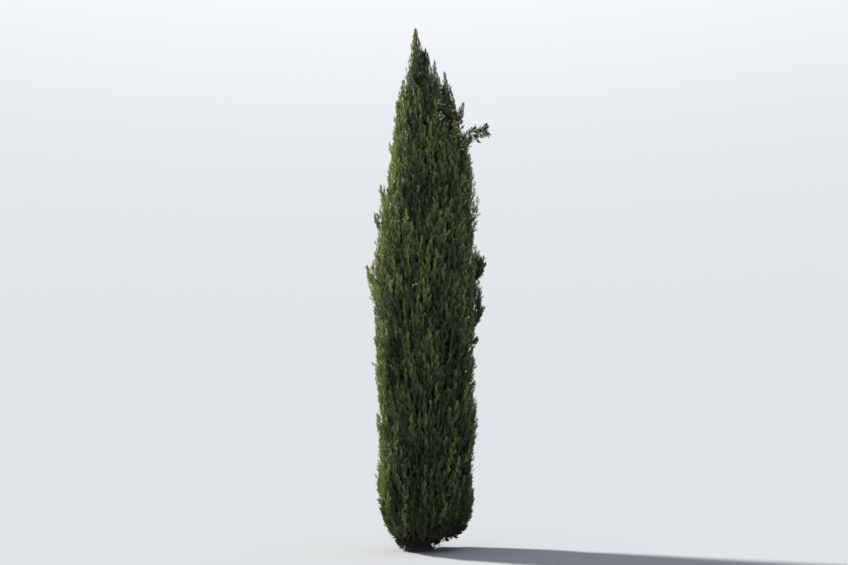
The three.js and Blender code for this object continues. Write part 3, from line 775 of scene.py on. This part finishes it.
def grow_tuft(growth, foot, tip, rng, count, length, tone, open_angle=36, close_angle=8):
    """A twig that turns upright, with sprays that lean out from it, least at its tip."""
    path = bend(np.asarray(foot, float), np.asarray(tip, float), 4)
    growth.add_twig(path, TUFT_TWIG)
    t = TUFT_START + TUFT_RUN * (np.arange(count) + 0.5) / count
    roots, run = along_path(path, t)
    outward = roots - trunk_middle(roots[:, 2])
    outward[:, 2] = 0
    first, second = round_run(run, outward)
    turn = GOLDEN_ANGLE * np.arange(count) + rng.uniform(0, 2 * np.pi) + rng.uniform(-0.3, 0.3, count)
    turned = (np.cos(turn) < -0.3) & (rng.uniform(size=count) < TURNED_OUT)
    turn = np.where(turned, turn + np.pi, turn)
    lean = np.radians(open_angle + (close_angle - open_angle) * t) * rng.uniform(0.6, 1.3, count)
    lean = np.where(rng.uniform(size=count) < STRAYS, lean + STRAY_LEAN, lean)
    out = blend(first, second, turn)
    direction = blend(run, out, lean) + rng.normal(0, SCATTER, (count, 3))
    lengths = length * (1.1 - 0.2 * t) * rng.uniform(0.75, 1.25, count)
    # Painted light and shade: sprays that turn away from the trunk and stand higher on the twig are
    # lighter, and those that turn inwards and stand low are darker.
    tones = tone + 0.35 * np.cos(turn) + 0.8 * (t - 0.5) + rng.normal(0, TONE_SCATTER, count)
    growth.add_sprays(roots, unit(direction + [0, 0, UPRIGHT]), lengths, tones + painted_light(roots, rng), rng)
    return path


def grow_spire(growth, foot, tip, radius, rng, tone, density=190, bare=0, ragged=0.04):
    """A leading shoot whose side twigs carry a spray each and get shorter up to its tip.

    density counts the sprays on each metre, bare is the share of it that has none, and ragged says
    how far they scatter.
    """
    foot, tip = np.asarray(foot, float), np.asarray(tip, float)
    tip = tip + (foot - tip) * SPRAY_OVER_TIP / np.linalg.norm(tip - foot)
    path = bend(foot, tip, 7, knee=0.5)
    growth.add_twig(path, SPIRE_TWIG)
    height = np.linalg.norm(tip - foot)
    count = round(density * height)
    t = bare + (SPIRE_END - bare) * ((np.arange(count) + 0.5) / count) ** 1.2
    axis, run = along_path(path, t)
    first, second = round_run(run, np.tile([0.2, -1.0, 0], (count, 1)))
    turn = GOLDEN_ANGLE * np.arange(count) + rng.uniform(0, 2 * np.pi)
    out = blend(first, second, turn)
    widest = np.minimum(SPIRE_WIDEST * radius, SPIRE_POINT + SPIRE_SLOPE * height * (1 - t))
    reach = widest * np.sqrt(rng.uniform(0.05, 1, count))
    lengths = (0.048 + 0.8 * reach) * rng.uniform(0.8, 1.2, count)
    lean = np.radians(4) + np.minimum(reach / 0.15, 1) * np.radians(rng.uniform(4, 18, count))
    offset = np.maximum(reach - lengths * np.sin(lean), 0)
    roots = axis + out * offset[:, None]
    direction = blend(run, out, lean) + rng.normal(0, ragged, (count, 3))
    starts, _ = along_path(path, np.maximum(t - (0.03 + offset) / height, 0))
    for start, end, far in zip(starts, roots, offset):
        if far > 0.015:
            growth.add_twig(np.stack([start, end]), SIDE_TWIG)
    # Painted shade: sprays close to the axis are darker, and those that reach further out are lighter.
    tones = tone + 12 * (reach - 0.75 * radius) + rng.normal(0, TONE_SCATTER, count)
    growth.add_sprays(roots, unit(direction), lengths, tones + painted_light(roots, rng), rng)


def surface_dent(bearing, level):
    """How far the crown's surface stands out or in: broad lumps, and crevices that run upwards."""
    place = crown_point(1, bearing, level)
    knobs = sum(
        out * math.exp(-((level - height) / tall) ** 2 - (math.sin((bearing - way) / 2) / KNOB_WIDTH) ** 2)
        for way, height, tall, out in KNOBS
    )
    return SURFACE_RELIEF * wave(place, *LUMP_WAVE) + SURFACE_RELIEF * wave(place, *CREVICE_WAVE) + knobs


def grow_branch(growth, cell, rng):
    """The branch that carries one mass, from the trunk outwards and up."""
    end = level_point(STEM_END_SHARE, cell["bearing"], cell["low"] + POINT_HEIGHT / 2 + 0.045)
    run = math.hypot(end[0] - trunk_middle(end[2])[0], end[1])
    start = trunk_middle(max(end[2] - STEM_SLOPE * run, LOWEST_STEM))
    girth = 0.006 + 0.24 * profile(TRUNK, start[2], 1)
    branch = bend(start, end, BRANCH_STEPS, knee=0.62, rise=0.4)
    sway = np.sin(np.linspace(0, np.pi, BRANCH_STEPS))[:, None] * rng.uniform(-0.03, 0.03, 3)
    branch = branch + sway * np.array([1, 1, 0.3])
    growth.branches.append((branch, np.linspace(girth, BRANCH_TAPER * girth, BRANCH_STEPS)))
    return branch


def grow_plume(growth, cell, branch, step, sizes, rng):
    """One plume at the crown's surface, with the twig that links it to the mass's branch."""
    is_top = cell["tier"] == BODY_TIERS
    bearing, low, rise = cell_spot(cell, step)
    length = sizes.plume_length * rng.uniform(0.75, 1.3) * (1.3 if is_top else 1)
    level = low + 0.12 + rise
    if cell["tier"] == 0:
        length = min(length, level - low + 0.1)
    lean = rng.uniform(-0.06, 0.06)
    dent = surface_dent(bearing, level) + rng.uniform(-0.1, 0.05)
    if rng.uniform() < STRAY_PLUMES and cell["tier"] >= FIRST_STRAY_TIER:
        dent += rng.uniform(0.05, 0.1)
    share = min(SURFACE_SHARE + dent, FURTHEST_SHARE + 0.15 * math.cos(bearing) ** 2)
    foot = level_point(max(share - PLUME_DEPTH, DEEPEST_SHARE), bearing - lean, level - length)
    foot[2] = max(foot[2], LOWEST_PLUME)
    tip = level_point(share, bearing + lean, level)
    # Painted light and shade: plumes that stand out of the surface are lighter and those set into it
    # darker, and the foliage darkens towards the ground as painted shade; the wave and the draw give random
    # tone.
    tone = 1.95 + 9.0 * dent + 1.6 * wave(tip, *TONE_WAVE)
    tone += -1.1 * math.exp(-tip[2] / 1.1) - (0.35 if is_top else 0) + rng.normal(0, 0.4)
    open_angle = 36 - 12 * math.exp(-tip[2] / 1.2) - 14 * is_top
    spray = sizes.spray_length * (1.2 if is_top else 1)
    path = grow_tuft(growth, foot, tip, rng, sizes.sprays, spray, tone, open_angle, 2 if is_top else 8)
    fork = branch[rng.integers(BRANCH_STEPS // 2, BRANCH_STEPS)]
    growth.add_twig(straight(fork, path[0], 3), LINK_TWIG)
    if rng.uniform() < cone_chance(tip):
        for _ in range(rng.integers(2, 6)):
            out = np.append((tip - trunk_middle(tip[2]))[:2] * 0.08, 0)
            growth.cones.append(path[2] + out + rng.uniform(-0.08, 0.08, 3) * [1, 0.5, 1])


def cone_chance(point):
    """The chance that a plume carries cones, of which a few hang on the shaded side."""
    if np.linalg.norm(point - CONE_PATCH) < CONE_PATCH_REACH:
        return 1
    return STRAY_CONES if point[2] > 2.4 and 0.8 * point[0] - 0.6 * point[1] > 0.3 else 0


def grow_inside(inner, cell, branch, rng):
    """Coarse shaded foliage inside one mass."""
    for step in range(1, SHADED_TUFTS + 1):
        bearing, low, rise = cell_spot(cell, step)
        level = low + 0.1 + rise
        share = rng.uniform(0.56, 0.76) if step % 4 else rng.uniform(0.32, 0.5)
        foot = level_point(share - 0.22, bearing, level - 0.3)
        foot[2] = max(foot[2], 0.12)
        tip = level_point(share, bearing, level)
        tip[2] = max(tip[2], foot[2] + 0.2)
        grow_tuft(inner, foot, tip, rng, count=8, length=0.26, tone=0, open_angle=50, close_angle=20)
        inner.add_twig(straight(branch[-2], foot, 3), SHADED_TWIG)


def grow_outer_spires(growth, cell, rng):
    """The spires that stand on one mass of the last tier."""
    for sector, tip, radius, tone in OUTER_SPIRES:
        if sector != cell["sector"]:
            continue
        bearing, share = crown_place((tip[0], tip[1], SPIRE_AIM_HEIGHT))
        turn = (bearing - cell["bearing"] + np.pi) % (2 * np.pi) - np.pi
        turn = np.clip(turn / HALF_SECTOR, -0.5, 0.5)
        share = np.clip(share, *SPIRE_FOOT_SHARES)
        foot = level_point(share, cell["bearing"] + turn * HALF_SECTOR, SPIRE_FOOT_LEVEL)
        grow_spire(growth, foot, tip, radius, rng, tone)


def grow_sprig(growth, rng):
    """The open sprig that reaches out sideways near the top, set with cones."""
    path = np.vstack([bough_path("bough_sprig")[-2:], SPRIG])
    fine = between(path, np.linspace(0.6, len(path) - 1, len(SPRIG_SHOOTS) + 1))
    growth.add_twig(fine, SPRIG_TWIG)
    for step, (reach, rise) in enumerate(SPRIG_SHOOTS):
        start = fine[1 + step]
        tip = start + [reach, 0.05 * (-1) ** (step // 2), rise]
        grow_tuft(growth, start, tip, rng, count=14, length=0.08, tone=0.2 if step < 7 else 1.6)
        for _ in range(1 if step < 5 else 4):
            place = start + (tip - start) * rng.uniform(0.3, 0.9) + rng.uniform(-0.03, 0.03, 3)
            growth.cones.append(place - [0, 0.02, 0])


def grow_foot_shoots(growth, rng):
    """Low shoots on short stems round the left of the root flare."""
    for bearing in FOOT_BEARINGS:
        out = heading(bearing)
        along = np.array([-out[1], out[0], 0])
        start = out * FOOT_STEM_START + [0, 0, FOOT_STEM_HEIGHT]
        end = out * FOOT_SHOOT_RADIUS + [0, 0, FOOT_STEM_HEIGHT]
        growth.add_twig(straight(start, end, 4), SHADED_TWIG)
        for side in FOOT_SHOOT_FAN:
            foot = end + along * 0.09 * side - [0, 0, 0.035]
            tip = foot + along * 0.05 * side + out * rng.uniform(-0.02, 0.05)
            tip = tip + [0, 0, rng.uniform(0.16, 0.24)]
            grow_tuft(growth, foot, tip, rng, count=12, length=0.11, tone=-0.2, open_angle=26)


def grow_skirt(inner, rng):
    """Shaded shoots round the trunk just under the crown."""
    for step in range(SKIRT_TUFTS):
        out = heading(step * GOLDEN_ANGLE)
        level = 0.02 + 0.24 * fraction(GOLDEN_SHARE * step)
        foot = out * (0.17 + 0.75 * max(0.12 - level, 0)) + [0, 0, level]
        tip = out * rng.uniform(0.22, 0.34) + [0, 0, level + 0.2]
        grow_tuft(inner, foot, tip, rng, count=8, length=0.15, tone=0, open_angle=30)


def grow_clumps(tiers, rng):
    """Ragged clumps that stand out at the crown's sides."""
    for tier, foot, tip, twigs in CLUMPS:
        for _ in range(twigs):
            start = np.array(foot) + rng.uniform(-0.04, 0.04, 3) * [1, 2, 1]
            end = np.array(tip) + rng.uniform(-0.08, 0.02, 3) * [1, 1.5, 1]
            tone = 1.1 + rng.normal(0, 0.4)
            grow_tuft(tiers[tier], start, end, rng, count=10, length=0.085, tone=tone)


def grow_core(growth, rng):
    """Shaded shoots between the spires round the leader."""
    for step in range(CORE_TUFTS):
        level = 6.85 + 0.58 * fraction(GOLDEN_SHARE * step)
        reach = rng.uniform(0.05, 0.24) * (7.75 - level)
        middle = 0.5 * (trunk_middle(level) + crown_point(0, 0, level))
        foot = middle + reach * heading(step * GOLDEN_ANGLE)
        tip = foot + [0, 0, 0.26]
        grow_tuft(growth, foot, tip, rng, count=8, length=0.18, tone=0.3, open_angle=24)


class Tree:
    """All that has grown, by group of masses."""

    def __init__(self, sizes):
        self.tiers = []
        self.inner = Growth()
        self.foot = Growth()
        self.single = {name: Growth() for name in (*PLUMES, *INNER_SPIRES, "leader", "sprig")}
        for tier in range(BODY_TIERS + 1):
            growth = Growth()
            for sector in range(SECTORS):
                rng = np.random.default_rng(sizes.seed + 10 * tier + sector)
                self.grow_mass(growth, cell_of(tier, sector), sizes, rng)
            self.tiers.append(growth)
        rng = np.random.default_rng(sizes.seed + TOP_SEED)
        for name, (bough, radius, tone, tips) in PLUMES.items():
            foot = bough_path(bough)[-1]
            for tip in tips:
                grow_spire(self.single[name], foot, tip, radius, rng, tone, bare=PLUME_BARE, ragged=SCATTER)
        grow_sprig(self.single["sprig"], rng)
        for name, (foot, tip, radius, tone) in INNER_SPIRES.items():
            grow_spire(self.single[name], foot, tip, radius, rng, tone)
        foot = trunk_middle(LEADER_FOOT)
        grow_spire(self.single["leader"], foot, LEADER_TIP, LEADER_RADIUS, rng, LEADER_TONE, LEADER_SPRAYS)
        grow_foot_shoots(self.foot, rng)
        grow_skirt(self.inner, rng)
        grow_clumps(self.tiers, rng)
        grow_core(self.tiers[BODY_TIERS], rng)

    def grow_mass(self, growth, cell, sizes, rng):
        """One mass: its branch, plumes at the surface, shaded foliage inside and spires on top."""
        is_top = cell["tier"] == BODY_TIERS
        branch = grow_branch(growth, cell, rng)
        for step in range(1, (sizes.top_plumes if is_top else sizes.plumes) + 1):
            grow_plume(growth, cell, branch, step, sizes, rng)
        grow_inside(self.inner, cell, branch, rng)
        if is_top:
            grow_outer_spires(growth, cell, rng)

    def groups(self):
        """Each group with its piece's name and the nodes that it stands for."""
        for tier, growth in enumerate(self.tiers):
            nodes = [f"mass_{tier + 1}_{sector + 1}" for sector in range(SECTORS)]
            yield f"foliage_tier_{tier + 1}", growth, nodes
        for name, growth in self.single.items():
            yield f"foliage_{name}", growth, [name]
        yield "foliage_foot_shoots", self.foot, [f"foot_shoots_{n + 1}" for n in range(len(FOOT_BEARINGS))]


# Trees that have been grown, by their sizes
TREES = {}


def grown(scene):
    """The tree for the sizes as they stand, grown once."""
    sizes = scene.cypress_sizes
    key = (sizes.seed, sizes.plumes, sizes.top_plumes, sizes.sprays, sizes.plume_length, sizes.spray_length)
    if key not in TREES:
        TREES[key] = Tree(sizes)
    return TREES[key]


# Shader maths as expressions


class Wire:
    """A socket of a shader tree that takes part in Python sums."""

    def __init__(self, shader, socket):
        self.shader = shader
        self.socket = socket

    def maths(self, operation, first, second):
        return self.shader.node("ShaderNodeMath", {"operation": operation}, {0: first, 1: second})

    def __add__(self, other):
        return self.maths("ADD", self, other)

    __radd__ = __add__

    def __rsub__(self, other):
        return self.maths("SUBTRACT", other, self)

    def __mul__(self, other):
        return self.maths("MULTIPLY", self, other)

    __rmul__ = __mul__


class Shader:
    """The node tree of a material or of the world."""

    def __init__(self, owner):
        self.owner = owner
        owner.use_nodes = True
        self.tree = owner.node_tree
        self.tree.nodes.clear()

    def node(self, kind, settings=None, inputs=None, output=0):
        """Adds a node: its settings first, then the values or links of its sockets."""
        made = self.tree.nodes.new(kind)
        for name, value in (settings or {}).items():
            if name == "stops":
                for stop, (place, level) in zip(made.color_ramp.elements, value):
                    stop.position = place
                    stop.color = (level, level, level, 1)
            else:
                setattr(made, name, value)
        for name, value in (inputs or {}).items():
            if isinstance(value, Wire):
                self.tree.links.new(value.socket, made.inputs[name])
            else:
                made.inputs[name].default_value = value
        return Wire(self, made.outputs[output]) if made.outputs else None

    def mix(self, share, low, high):
        """A colour between two, by a share."""
        low, high = (c if isinstance(c, Wire) else (*c, 1) for c in (low, high))
        return self.node("ShaderNodeMix", {"data_type": "RGBA"}, {0: share, 6: low, 7: high}, output=2)

    def pattern(self, place, scale, detail=4.0):
        """Noise from 0 to 1."""
        inputs = {"Vector": place, "Scale": scale, "Detail": detail, "Roughness": 0.6}
        return self.node("ShaderNodeTexNoise", None, inputs)

    def height_of(self, place):
        """The height in a set of coordinates."""
        return self.node("ShaderNodeSeparateXYZ", None, {0: place}, output=2)

    def bump(self, height, strength, distance):
        """A surface direction that follows a height."""
        inputs = {"Strength": strength, "Distance": distance, "Height": height}
        return self.node("ShaderNodeBump", None, inputs)

    def finish(self, **sockets):
        """Ends a material's tree with a surface."""
        inputs = {name.replace("_", " "): value for name, value in sockets.items()}
        surface = self.node("ShaderNodeBsdfPrincipled", None, inputs)
        self.node("ShaderNodeOutputMaterial", None, {"Surface": surface})
        return self.owner


def place_on_object(shader, stretch):
    """Coordinates on the object, squeezed or stretched along its axes."""
    coords = shader.node("ShaderNodeTexCoord", output=3)
    return shader.node("ShaderNodeVectorMath", {"operation": "MULTIPLY"}, {0: coords, 1: stretch})


def sharpen(shader, value, low, high):
    """0 below low, 1 above high, and a ramp between."""
    return shader.node("ShaderNodeValToRGB", {"stops": [(low, 0), (high, 1)]}, {0: value})


def bark_material(colours):
    """Grey-brown bark in shallow strips that run up the trunk, with painted shade that darkens it at the
    ground.
    """
    shader = Shader(bpy.data.materials.new("bark"))
    strips = shader.pattern(place_on_object(shader, (1, 1, 0.09)), 62, detail=6)
    flakes = shader.pattern(place_on_object(shader, (1, 1, 0.35)), 26, detail=5)
    stains = shader.pattern(place_on_object(shader, (1, 1, 0.6)), 3.2, detail=3)
    face = shader.mix(sharpen(shader, stains, 0.38, 0.66), colours.bark, colours.bark_stain)
    worn = shader.mix(sharpen(shader, flakes, 0.42, 0.7), face, colours.bark_flake)
    dry = shader.mix(sharpen(shader, strips, 0.34, 0.56), colours.furrow, worn)
    # Painted shade: the bark is darkened towards the ground, under the crown.
    height = shader.height_of(place_on_object(shader, (1, 1, 1)))
    foot_shade = sharpen(shader, height, 0.08, 0.42) * -0.75 + 0.75
    colour = shader.mix(foot_shade, dry, colours.bark_foot_shade)
    bump = shader.bump(strips + flakes * 0.5, 0.6, 0.004)
    return shader.finish(Base_Color=colour, Roughness=0.98 - 0.14 * flakes, Normal=bump)


def twig_material(colours):
    """Thin red-brown bark, grey where it is old."""
    shader = Shader(bpy.data.materials.new("twig_bark"))
    grain = shader.pattern(place_on_object(shader, (1, 1, 0.2)), 90)
    colour = shader.mix(sharpen(shader, grain, 0.35, 0.68), colours.twig, colours.old_twig)
    return shader.finish(Base_Color=colour, Roughness=0.9 - 0.1 * grain)


def cone_material(colours):
    """Dry buff scales with grey-brown stains."""
    shader = Shader(bpy.data.materials.new("cone_scales"))
    place = place_on_object(shader, (1, 1, 1))
    stains = shader.pattern(place, 75, detail=3)
    grain = shader.pattern(place, 420, detail=2)
    face = shader.mix(sharpen(shader, stains, 0.42, 0.7), colours.cone, colours.cone_stain)
    colour = shader.mix(sharpen(shader, grain, 0.5, 0.8) * 0.5, face, colours.cone_dust)
    bump = shader.bump(grain, 0.4, 0.001)
    return shader.finish(Base_Color=colour, Roughness=0.86 - 0.1 * grain, Normal=bump)


def foliage_material(name, colour):
    """Waxy scale leaves of one plain colour."""
    return Shader(bpy.data.materials.new(name)).finish(
        Base_Color=(*colour, 1), Roughness=0.64, Specular_IOR_Level=0.28
    )


def foliage_materials(colours):
    """The foliage's colours in the order of their numbers."""
    names = GREENS + ODD_COLOURS
    return [bpy.data.materials.get(n) or foliage_material(n, getattr(colours, n)) for n in names]


def cone_form():
    """Corners and triangles of a cone of unit radius, with seams between its scales and a boss on each."""
    scales = unit(even_ball(1)[0])
    corners, triangles = even_ball(2)
    near = np.sort(corners @ scales.T, axis=1)[:, ::-1]
    seam = np.clip((near[:, 0] - near[:, 1]) / 0.22, 0, 1)
    boss = np.clip((near[:, 0] - 0.97) / 0.03, 0, 1)
    return corners * (0.86 + 0.14 * seam**0.6 + 0.07 * boss)[:, None], triangles


def bark_relief(points, middle_of, depth_share):
    """Points pushed in and out of a limb's middle in furrows that run along it."""
    shaped = points.copy()
    for index, point in enumerate(points):
        middle = middle_of(point)
        out = point - middle
        radius = np.linalg.norm(out)
        if radius < 1e-5:
            continue
        ridge = 1 - abs(2 * noise.noise(Vector(point * FURROWS)))
        broad = noise.noise(Vector(point * BROAD_FURROWS))
        shaped[index] = middle + out * (1 + depth_share * (ridge - 0.75 + 0.5 * broad))
    return shaped


# Stage: the colours of the key light and the soft light, and the camera's sensor and farthest view
KEY_COLOUR = (1.0, 0.94, 0.80)
SOFT_COLOUR = (0.95, 0.975, 1.0)
SENSOR_WIDTH = 36
FARTHEST_VIEW = 4000


def floor_colour(stage):
    """The floor's colour that looks as light as the soft light behind it."""
    key = np.array(KEY_COLOUR) * stage.sun_strength * math.sin(stage.sun_height) / math.pi
    soft = np.array(SOFT_COLOUR)
    overhead = stage.low_light + (stage.high_light - stage.low_light) * 2 / 5
    return stage.low_light * soft / (overhead * soft + key)


def soft_light(low, high):
    """A world whose light is stronger overhead."""
    shader = Shader(bpy.data.worlds.new("soft_light"))
    height = shader.height_of(shader.node("ShaderNodeTexCoord"))
    above = shader.node("ShaderNodeMath", {"operation": "MAXIMUM"}, {0: height, 1: 0})
    strength = low + (high - low) * above * above * above
    light = shader.node("ShaderNodeBackground", None, {"Color": (*SOFT_COLOUR, 1), "Strength": strength})
    shader.node("ShaderNodeOutputWorld", None, {"Surface": light})
    return shader.owner


class CypressOperator:
    """What the operators share."""

    bl_options = {"REGISTER", "UNDO"}


class CYPRESS_OT_trunk(CypressOperator, bpy.types.Operator):
    """Make the trunk with its root flare and the relief of its bark"""

    bl_idname = "cypress.trunk"
    bl_label = "Trunk"

    def execute(self, context):
        sizes, colours = context.scene.cypress_sizes, context.scene.cypress_colours
        heights = np.concatenate([
            np.linspace(0, 0.9, 90, endpoint=False),
            np.linspace(0.9, 3.0, 45, endpoint=False),
            np.linspace(3.0, TRUNK_TIP - 0.05, 35),
        ])
        turn = np.arange(TRUNK_SIDES) * 2 * np.pi / TRUNK_SIDES
        radius = profile(TRUNK, heights, 1)[:, None]
        flare = profile(TRUNK, heights, 2)[:, None] * np.cos(BUTTRESSES * turn)
        reach = radius * (1 + flare)
        middle = trunk_middle(heights)[:, None]
        out = np.stack([reach * np.cos(turn), reach * np.sin(turn), np.zeros_like(reach)], axis=-1)
        rings = (middle + out).reshape(-1, 3)
        rings = bark_relief(rings, lambda p: trunk_middle(p[2]), sizes.bark_relief)
        points = np.vstack([trunk_middle(0.0)[None], rings, trunk_middle(TRUNK_TIP)[None]])
        faces = limb_faces(len(heights), TRUNK_SIDES)
        piece = new_piece("trunk_bark", points, faces, [bark_material(colours)], smooth=True)
        mount(piece, ["trunk"])
        return {"FINISHED"}


class CYPRESS_OT_boughs(CypressOperator, bpy.types.Operator):
    """Make the boughs that come out at the crown's surface"""

    bl_idname = "cypress.boughs"
    bl_label = "Boughs"

    def execute(self, context):
        bark = bpy.data.materials["bark"]
        for name, (_, _, _, _, thick, thin) in BOUGHS.items():
            path = bough_path(name, 40)
            radii = np.linspace(thick, thin, len(path))
            knots = 1 + 0.08 * np.array([noise.noise(Vector(p) * 14) for p in path])
            piece = tubes_piece(f"{name}_bark", [(path, radii * knots)], BOUGH_SIDES, bark)
            mount(piece, [name])
        return {"FINISHED"}


class CYPRESS_OT_branches(CypressOperator, bpy.types.Operator):
    """Make the hidden branches and all the twigs"""

    bl_idname = "cypress.branches"
    bl_label = "Branches and twigs"

    def execute(self, context):
        tree = grown(context.scene)
        growths = [growth for _, growth, _ in tree.groups()] + [tree.inner]
        branches = [limb for growth in growths for limb in growth.branches]
        piece = tubes_piece("branches", branches, BRANCH_SIDES, bpy.data.materials["bark"])
        mount(piece)
        twigs = [limb for growth in growths for limb in growth.twigs]
        piece = tubes_piece("twigs", twigs, TWIG_SIDES, twig_material(context.scene.cypress_colours))
        mount(piece)
        return {"FINISHED"}


class CYPRESS_OT_foliage(CypressOperator, bpy.types.Operator):
    """Make the foliage of each tier, the spires, the plumes, the sprig and the foot shoots"""

    bl_idname = "cypress.foliage"
    bl_label = "Foliage"

    def execute(self, context):
        sizes = context.scene.cypress_sizes
        tree = grown(context.scene)
        materials = foliage_materials(context.scene.cypress_colours)
        rng = np.random.default_rng(sizes.seed + FOLIAGE_SEED)
        forms = [spray_form(rng, sizes.shoots, sizes.shoot_width) for _ in range(SPRAY_FORMS)]
        for name, growth, nodes in tree.groups():
            piece = foliage_piece(name, growth.all_sprays(), forms, materials, rng)
            mount(piece, nodes)
        return {"FINISHED"}


class CYPRESS_OT_inner_foliage(CypressOperator, bpy.types.Operator):
    """Make the coarse shaded foliage inside the crown"""

    bl_idname = "cypress.inner_foliage"
    bl_label = "Inner foliage"

    def execute(self, context):
        sizes, colours = context.scene.cypress_sizes, context.scene.cypress_colours
        rng = np.random.default_rng(sizes.seed + INNER_SEED)
        forms = [spray_form(rng, shoots=9, width=0.62, spread=1.3) for _ in range(SHADED_FORMS)]
        shaded = foliage_material("inner_brown", colours.inner_brown)
        sprays = grown(context.scene).inner.all_sprays()
        piece = foliage_piece("inner_foliage", sprays, forms, [shaded], rng)
        mount(piece)
        return {"FINISHED"}


class CYPRESS_OT_cones(CypressOperator, bpy.types.Operator):
    """Make the ripe cones"""

    bl_idname = "cypress.cones"
    bl_label = "Cones"

    def execute(self, context):
        sizes = context.scene.cypress_sizes
        tree = grown(context.scene)
        rng = np.random.default_rng(sizes.seed + CONE_SEED)
        corners, triangles = cone_form()
        points, faces = [], []
        places = [cone for _, growth, _ in tree.groups() for cone in growth.cones]
        for index, place in enumerate(places):
            turn, _ = np.linalg.qr(rng.normal(size=(3, 3)))
            size = sizes.cone_radius * rng.uniform(0.85, 1.12)
            points.append(place + size * corners @ turn)
            order = triangles if np.linalg.det(turn) > 0 else triangles[:, ::-1]
            faces.append(order + index * len(corners))
        material = cone_material(context.scene.cypress_colours)
        piece = new_piece("cones", np.vstack(points), np.vstack(faces), [material], smooth=True)
        mount(piece)
        return {"FINISHED"}


class CYPRESS_OT_stage(CypressOperator, bpy.types.Operator):
    """Set up the floor, the light and the camera"""

    bl_idname = "cypress.stage"
    bl_label = "Stage"

    def execute(self, context):
        scene = context.scene
        stage = scene.cypress_stage
        bpy.ops.mesh.primitive_circle_add(vertices=96, radius=stage.floor_radius, fill_type="NGON")
        floor = context.object
        floor.name = "floor"
        paint = Shader(bpy.data.materials.new("floor"))
        floor.data.materials.append(
            paint.finish(Base_Color=(*floor_colour(stage), 1), Roughness=1, Specular_IOR_Level=0)
        )

        scene.world = soft_light(stage.low_light, stage.high_light)

        sun = bpy.data.objects.new("key_light", bpy.data.lights.new("key_light", "SUN"))
        sun.data.energy = stage.sun_strength
        sun.data.color = KEY_COLOUR
        sun.data.angle = stage.sun_width
        towards = Vector((
            -math.cos(stage.sun_side) * math.cos(stage.sun_height),
            math.sin(stage.sun_side) * math.cos(stage.sun_height),
            math.sin(stage.sun_height),
        ))
        sun.rotation_euler = towards.to_track_quat("Z", "Y").to_euler()
        scene.collection.objects.link(sun)

        camera = bpy.data.objects.new("camera", bpy.data.cameras.new("camera"))
        camera.data.sensor_width = SENSOR_WIDTH
        camera.data.lens = stage.lens
        camera.data.clip_end = FARTHEST_VIEW
        camera.location = (stage.side, -stage.distance, stage.eye_height)
        camera.rotation_euler = (math.pi / 2 + stage.pitch, stage.roll, 0)
        scene.collection.objects.link(camera)
        scene.camera = camera
        scene.view_settings.view_transform = "Standard"
        return {"FINISHED"}


class CYPRESS_PT_panel(bpy.types.Panel):
    """Lists the pieces of the cypress."""

    bl_idname = "CYPRESS_PT_panel"
    bl_label = "Italian Cypress"
    bl_space_type = "VIEW_3D"
    bl_region_type = "UI"
    bl_category = "Cypress"

    def draw(self, context):
        for operator in OPERATORS:
            self.layout.operator(operator.bl_idname)
        scene = context.scene
        for group in (scene.cypress_sizes, scene.cypress_colours, scene.cypress_stage):
            column = self.layout.column()
            for name in group.__annotations__:
                column.prop(group, name)


OPERATORS = (
    CYPRESS_OT_trunk,
    CYPRESS_OT_boughs,
    CYPRESS_OT_branches,
    CYPRESS_OT_foliage,
    CYPRESS_OT_inner_foliage,
    CYPRESS_OT_cones,
    CYPRESS_OT_stage,
)
CLASSES = (CypressSizes, CypressColours, CypressStage, *OPERATORS, CYPRESS_PT_panel)


def register():
    for cls in CLASSES:
        bpy.utils.register_class(cls)
    bpy.types.Scene.cypress_sizes = PointerProperty(type=CypressSizes)
    bpy.types.Scene.cypress_colours = PointerProperty(type=CypressColours)
    bpy.types.Scene.cypress_stage = PointerProperty(type=CypressStage)


def unregister():
    del bpy.types.Scene.cypress_stage
    del bpy.types.Scene.cypress_colours
    del bpy.types.Scene.cypress_sizes
    for cls in reversed(CLASSES):
        bpy.utils.unregister_class(cls)


def main():
    register()
    bpy.ops.cypress.trunk()
    bpy.ops.cypress.boughs()
    bpy.ops.cypress.branches()
    bpy.ops.cypress.foliage()
    bpy.ops.cypress.inner_foliage()
    bpy.ops.cypress.cones()
    bpy.ops.cypress.stage()


if __name__ == "__main__":
    main()
